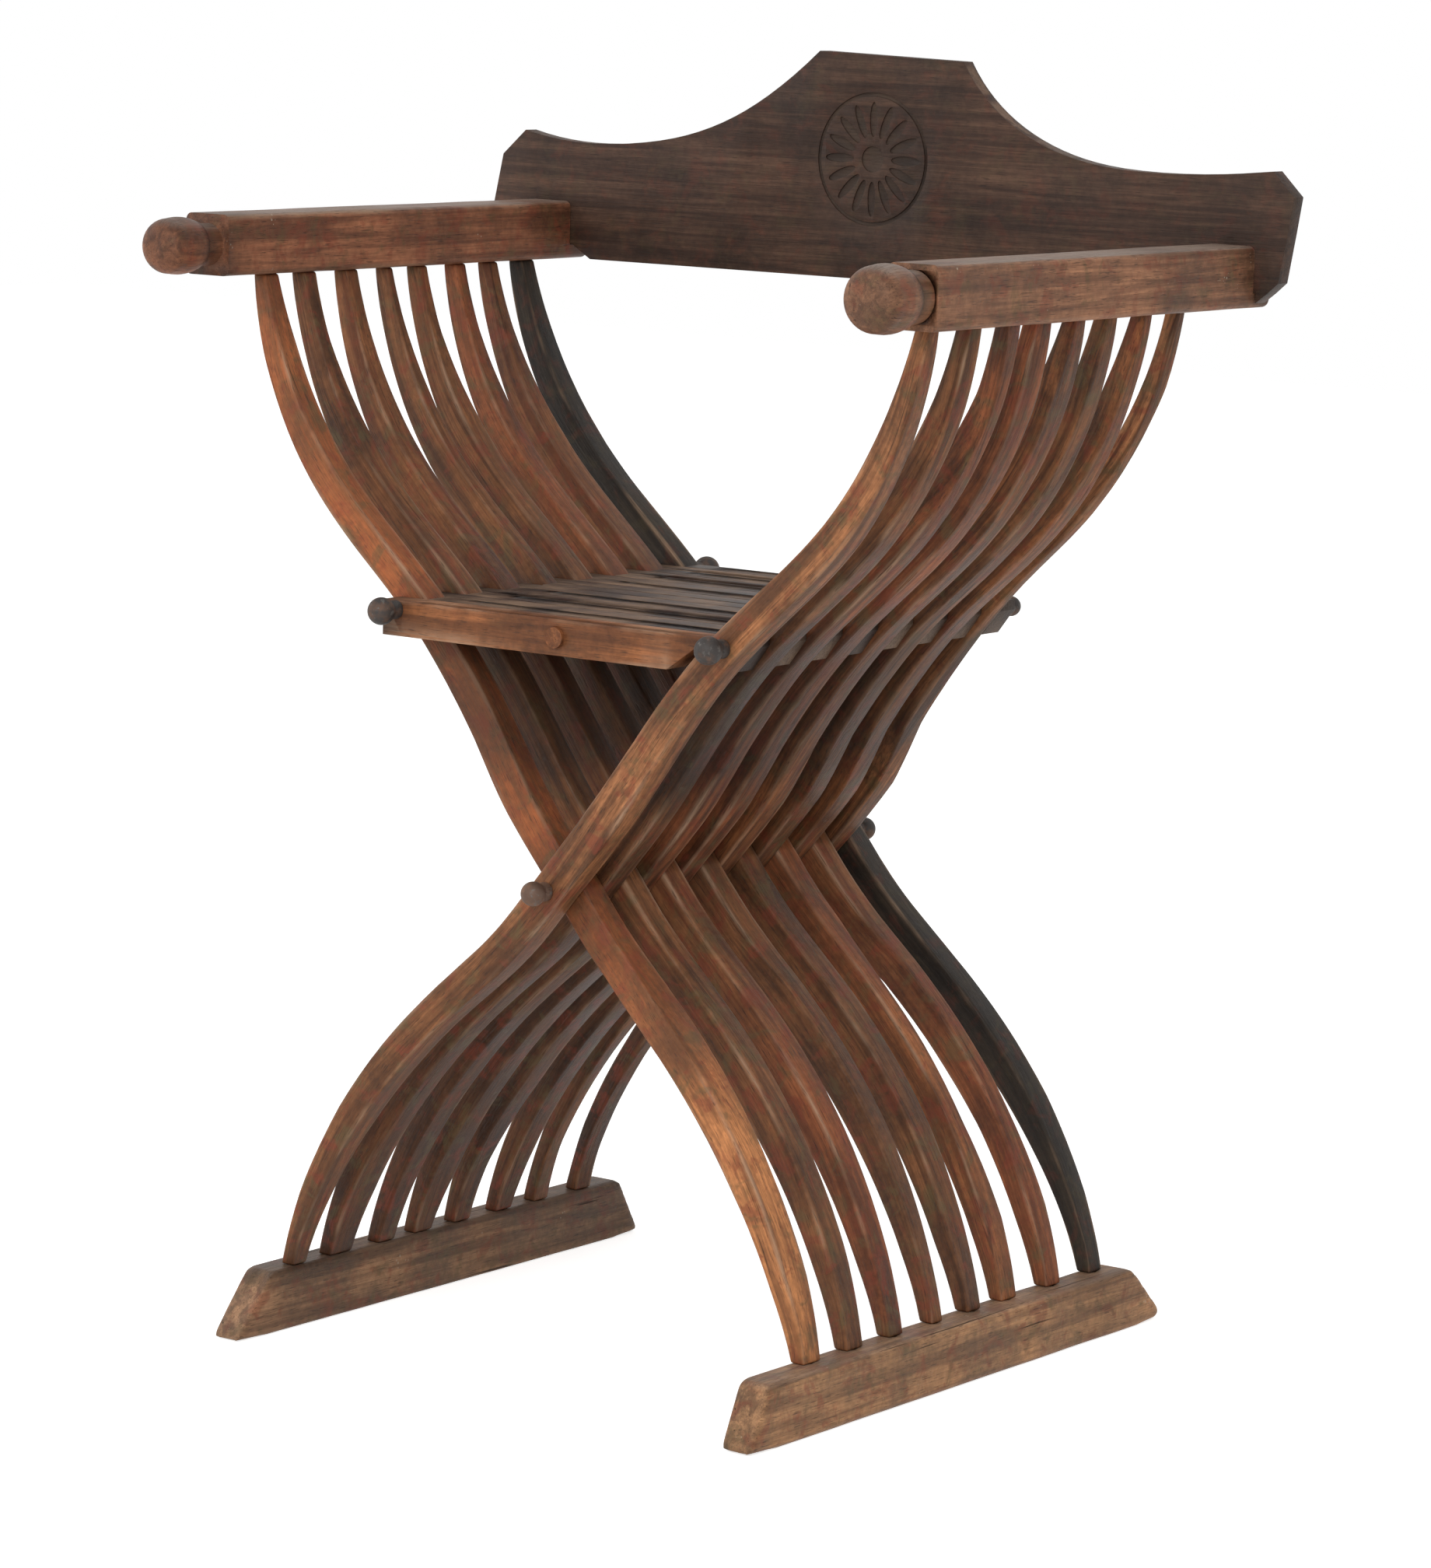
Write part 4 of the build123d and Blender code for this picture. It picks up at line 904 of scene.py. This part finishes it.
class CHAIR_OT_back_board(bpy.types.Operator):
    """Dress the carved back board"""

    bl_idname = "chair.back_board"
    bl_label = "Back board"

    def execute(self, context):
        wood = context.scene.chair_wood
        sizes = context.scene.chair_sizes
        piece = merged_copy("back_board", "back_board_wood")
        low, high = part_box("back_board")
        cut_across(piece, "X", steps(low.x, high.x, 0.02))
        round_arrises(piece, sizes.board_arris, 2)
        points = coordinates(piece)
        front = points[:, 1].min()
        rear = points[:, 1].max()
        edge = np.minimum(points[:, 1] - front, rear - points[:, 1])
        write_attribute(piece, "arris", "FLOAT", np.clip(edge / 0.0012, 0.0, 1.0) * 0.8)
        # Inside the rosette the board is darker, and its sunk floors carry painted shade on top of that; the
        # board also darkens towards its right end.
        sunk_floor_shade = (points[:, 1] > front + 0.0005) & (points[:, 1] < front + 0.0016)
        far = np.hypot(points[:, 0] - sizes.rosette_x, points[:, 2] - sizes.rosette_z)
        right_end = 0.18 * np.clip((points[:, 0] - 0.10) / 0.12, 0.0, 1.0)
        write_attribute(piece, "soot", "FLOAT",
                        np.where(far < sizes.rosette_radius, 0.22 + 0.45 * sunk_floor_shade, right_end))
        coat(piece, walnut_material("Back board walnut", tuple(wood.board), 71.7, "X", wear=0.35,
                                    stain=0.12, crack=0.25, bump=0.35, soot="PIECE"))
        stand_for(piece, "back_board")
        return {"FINISHED"}


class CHAIR_OT_iron(bpy.types.Operator):
    """Dress the rods and their knobs"""

    bl_idname = "chair.iron"
    bl_label = "Rods and knobs"

    def execute(self, context):
        wood = context.scene.chair_wood
        black = iron_material("Wrought iron", tuple(wood.iron), tuple(wood.iron_rust))
        rusty = iron_material("Rusty iron", tuple(wood.iron_rust), tuple(wood.rust_patch))
        for node in RODS:
            dress(NODES[node], black)
        for node in KNOBS:
            piece = merged_copy(node, f"{node}_iron")
            bpy.ops.object.shade_smooth_by_angle(angle=SMOOTH_ANGLE)
            dress(piece, rusty if node == "pivot_rod_front_knob" else black)
            stand_for(piece, node)
        return {"FINISHED"}


# --- Stage ---------------------------------------------------------------------------------------

def background_rays(tree, column, row):
    """1 on the rays that see the background: the camera's, and those reflected or let through."""
    path = place(tree, "ShaderNodeLightPath", column, row)
    seen = maths(tree, "MAXIMUM", path.outputs["Is Camera Ray"], path.outputs["Is Glossy Ray"],
                 column + 1, row)
    return maths(tree, "MAXIMUM", seen, path.outputs["Is Transmission Ray"], column + 2, row)


def floor_material(tone, whiteness):
    """Pale floor that the camera sees nearly white, with its shadow kept."""
    material = bpy.data.materials.new("Pale floor")
    material.use_nodes = True
    tree = material.node_tree
    tree.nodes.clear()
    out = place(tree, "ShaderNodeOutputMaterial", 5, 0)
    matt = place(tree, "ShaderNodeBsdfDiffuse", 1, 0)
    matt.inputs["Color"].default_value = (*tone, 1.0)
    white = place(tree, "ShaderNodeEmission", 1, 1)
    white.inputs["Color"].default_value = (1.0, 1.0, 1.0, 1.0)
    added = place(tree, "ShaderNodeAddShader", 3, 0)
    seen = maths(tree, "MULTIPLY", background_rays(tree, -3, -1), whiteness, 1, -1)
    wire(tree, seen, white.inputs["Strength"])
    wire(tree, matt.outputs[0], added.inputs[0])
    wire(tree, white.outputs[0], added.inputs[1])
    wire(tree, added.outputs[0], out.inputs["Surface"])
    return material


def add_lamp(name, place_at, aim, width, power):
    """Large square lamp that points at a spot on the chair."""
    bpy.ops.object.light_add(type="AREA", location=place_at)
    lamp = bpy.context.active_object
    lamp.name = name
    lamp.data.name = name
    lamp.data.size = width
    lamp.data.energy = power
    lamp.rotation_euler = (Vector(aim) - Vector(place_at)).to_track_quat("-Z", "Y").to_euler()
    return lamp


class CHAIR_OT_stage(bpy.types.Operator):
    """Add the floor, the lamps and the camera"""

    bl_idname = "chair.stage"
    bl_label = "Stage"

    def execute(self, context):
        stage = context.scene.chair_stage
        bpy.ops.object.select_all(action="DESELECT")
        bpy.ops.mesh.primitive_plane_add(size=14.0, location=(0.0, 0.0, -0.0004))
        floor = context.active_object
        floor.name = "floor"
        bpy.ops.object.mode_set(mode="EDIT")
        bpy.ops.mesh.subdivide(number_cuts=3)
        bpy.ops.object.mode_set(mode="OBJECT")
        bpy.ops.object.transform_apply(location=True, rotation=True, scale=True)
        floor.data.materials.append(floor_material(tuple(stage.floor), stage.whiteness))

        world = bpy.data.worlds.new("Studio") if context.scene.world is None else context.scene.world
        context.scene.world = world
        world.use_nodes = True
        tree = world.node_tree
        tree.nodes.clear()
        out = place(tree, "ShaderNodeOutputWorld", 4, 0)
        sky = place(tree, "ShaderNodeBackground", 1, 0)
        sky.inputs["Color"].default_value = (1.0, 0.99, 0.97, 1.0)
        sky.inputs["Strength"].default_value = stage.sky
        white = place(tree, "ShaderNodeBackground", 1, 1)
        white.inputs["Color"].default_value = (1.0, 1.0, 1.0, 1.0)
        white.inputs["Strength"].default_value = 1.0
        mixed = place(tree, "ShaderNodeMixShader", 3, 0)
        wire(tree, background_rays(tree, -1, -1), mixed.inputs[0])
        wire(tree, sky.outputs[0], mixed.inputs[1])
        wire(tree, white.outputs[0], mixed.inputs[2])
        wire(tree, mixed.outputs[0], out.inputs["Surface"])

        azimuth, elevation, roll = stage.azimuth, stage.elevation, stage.roll
        back = Vector((math.sin(azimuth) * math.cos(elevation), -math.cos(azimuth) * math.cos(elevation),
                       math.sin(elevation)))
        level = Vector((math.cos(azimuth), math.sin(azimuth), 0.0))
        up = back.cross(level)
        aside = level * math.cos(roll) - up * math.sin(roll)
        upright = level * math.sin(roll) + up * math.cos(roll)
        aimed = Matrix((aside, upright, back)).transposed()
        bpy.ops.object.camera_add(location=Vector(stage.target) + back * stage.distance,
                                  rotation=aimed.to_euler())
        camera = context.active_object
        camera.name = "camera"
        camera.data.sensor_fit = "VERTICAL"
        camera.data.sensor_height = 36.0
        camera.data.lens = stage.lens
        camera.data.clip_end = 50.0
        context.scene.camera = camera

        aim = (0.0, 0.0, 0.42)
        add_lamp("key", (1.2, -3.0, 2.1), aim, 2.4, stage.key_power)
        add_lamp("fill", (-2.6, -1.4, 1.5), aim, 2.4, stage.fill_power)
        context.scene.view_settings.view_transform = "Standard"
        return {"FINISHED"}


class CHAIR_PT_panel(bpy.types.Panel):
    """Lists the steps that dress the chair"""

    bl_idname = "CHAIR_PT_panel"
    bl_label = "Armchair"
    bl_space_type = "VIEW_3D"
    bl_region_type = "UI"
    bl_category = "Armchair"

    def draw(self, context):
        column = self.layout.column()
        for operator in OPERATORS:
            column.operator(operator.bl_idname)


OPERATORS = (CHAIR_OT_stage, CHAIR_OT_staves, CHAIR_OT_arms, CHAIR_OT_feet, CHAIR_OT_seat,
             CHAIR_OT_back_board, CHAIR_OT_iron)
GROUP_CLASSES = (ChairWood, ChairSizes, ChairStage)


def register():
    for kind in (*GROUP_CLASSES, *OPERATORS, CHAIR_PT_panel):
        bpy.utils.register_class(kind)
    bpy.types.Scene.chair_wood = bpy.props.PointerProperty(type=ChairWood)
    bpy.types.Scene.chair_sizes = bpy.props.PointerProperty(type=ChairSizes)
    bpy.types.Scene.chair_stage = bpy.props.PointerProperty(type=ChairStage)


def unregister():
    del bpy.types.Scene.chair_stage
    del bpy.types.Scene.chair_sizes
    del bpy.types.Scene.chair_wood
    for kind in reversed((*GROUP_CLASSES, *OPERATORS, CHAIR_PT_panel)):
        bpy.utils.unregister_class(kind)


def main():
    register()
    for operator in OPERATORS:
        group, name = operator.bl_idname.split(".")
        if getattr(getattr(bpy.ops, group), name)() != {"FINISHED"}:
            raise RuntimeError(f"{operator.bl_label} did not finish")


if __name__ == "__main__":
    main()
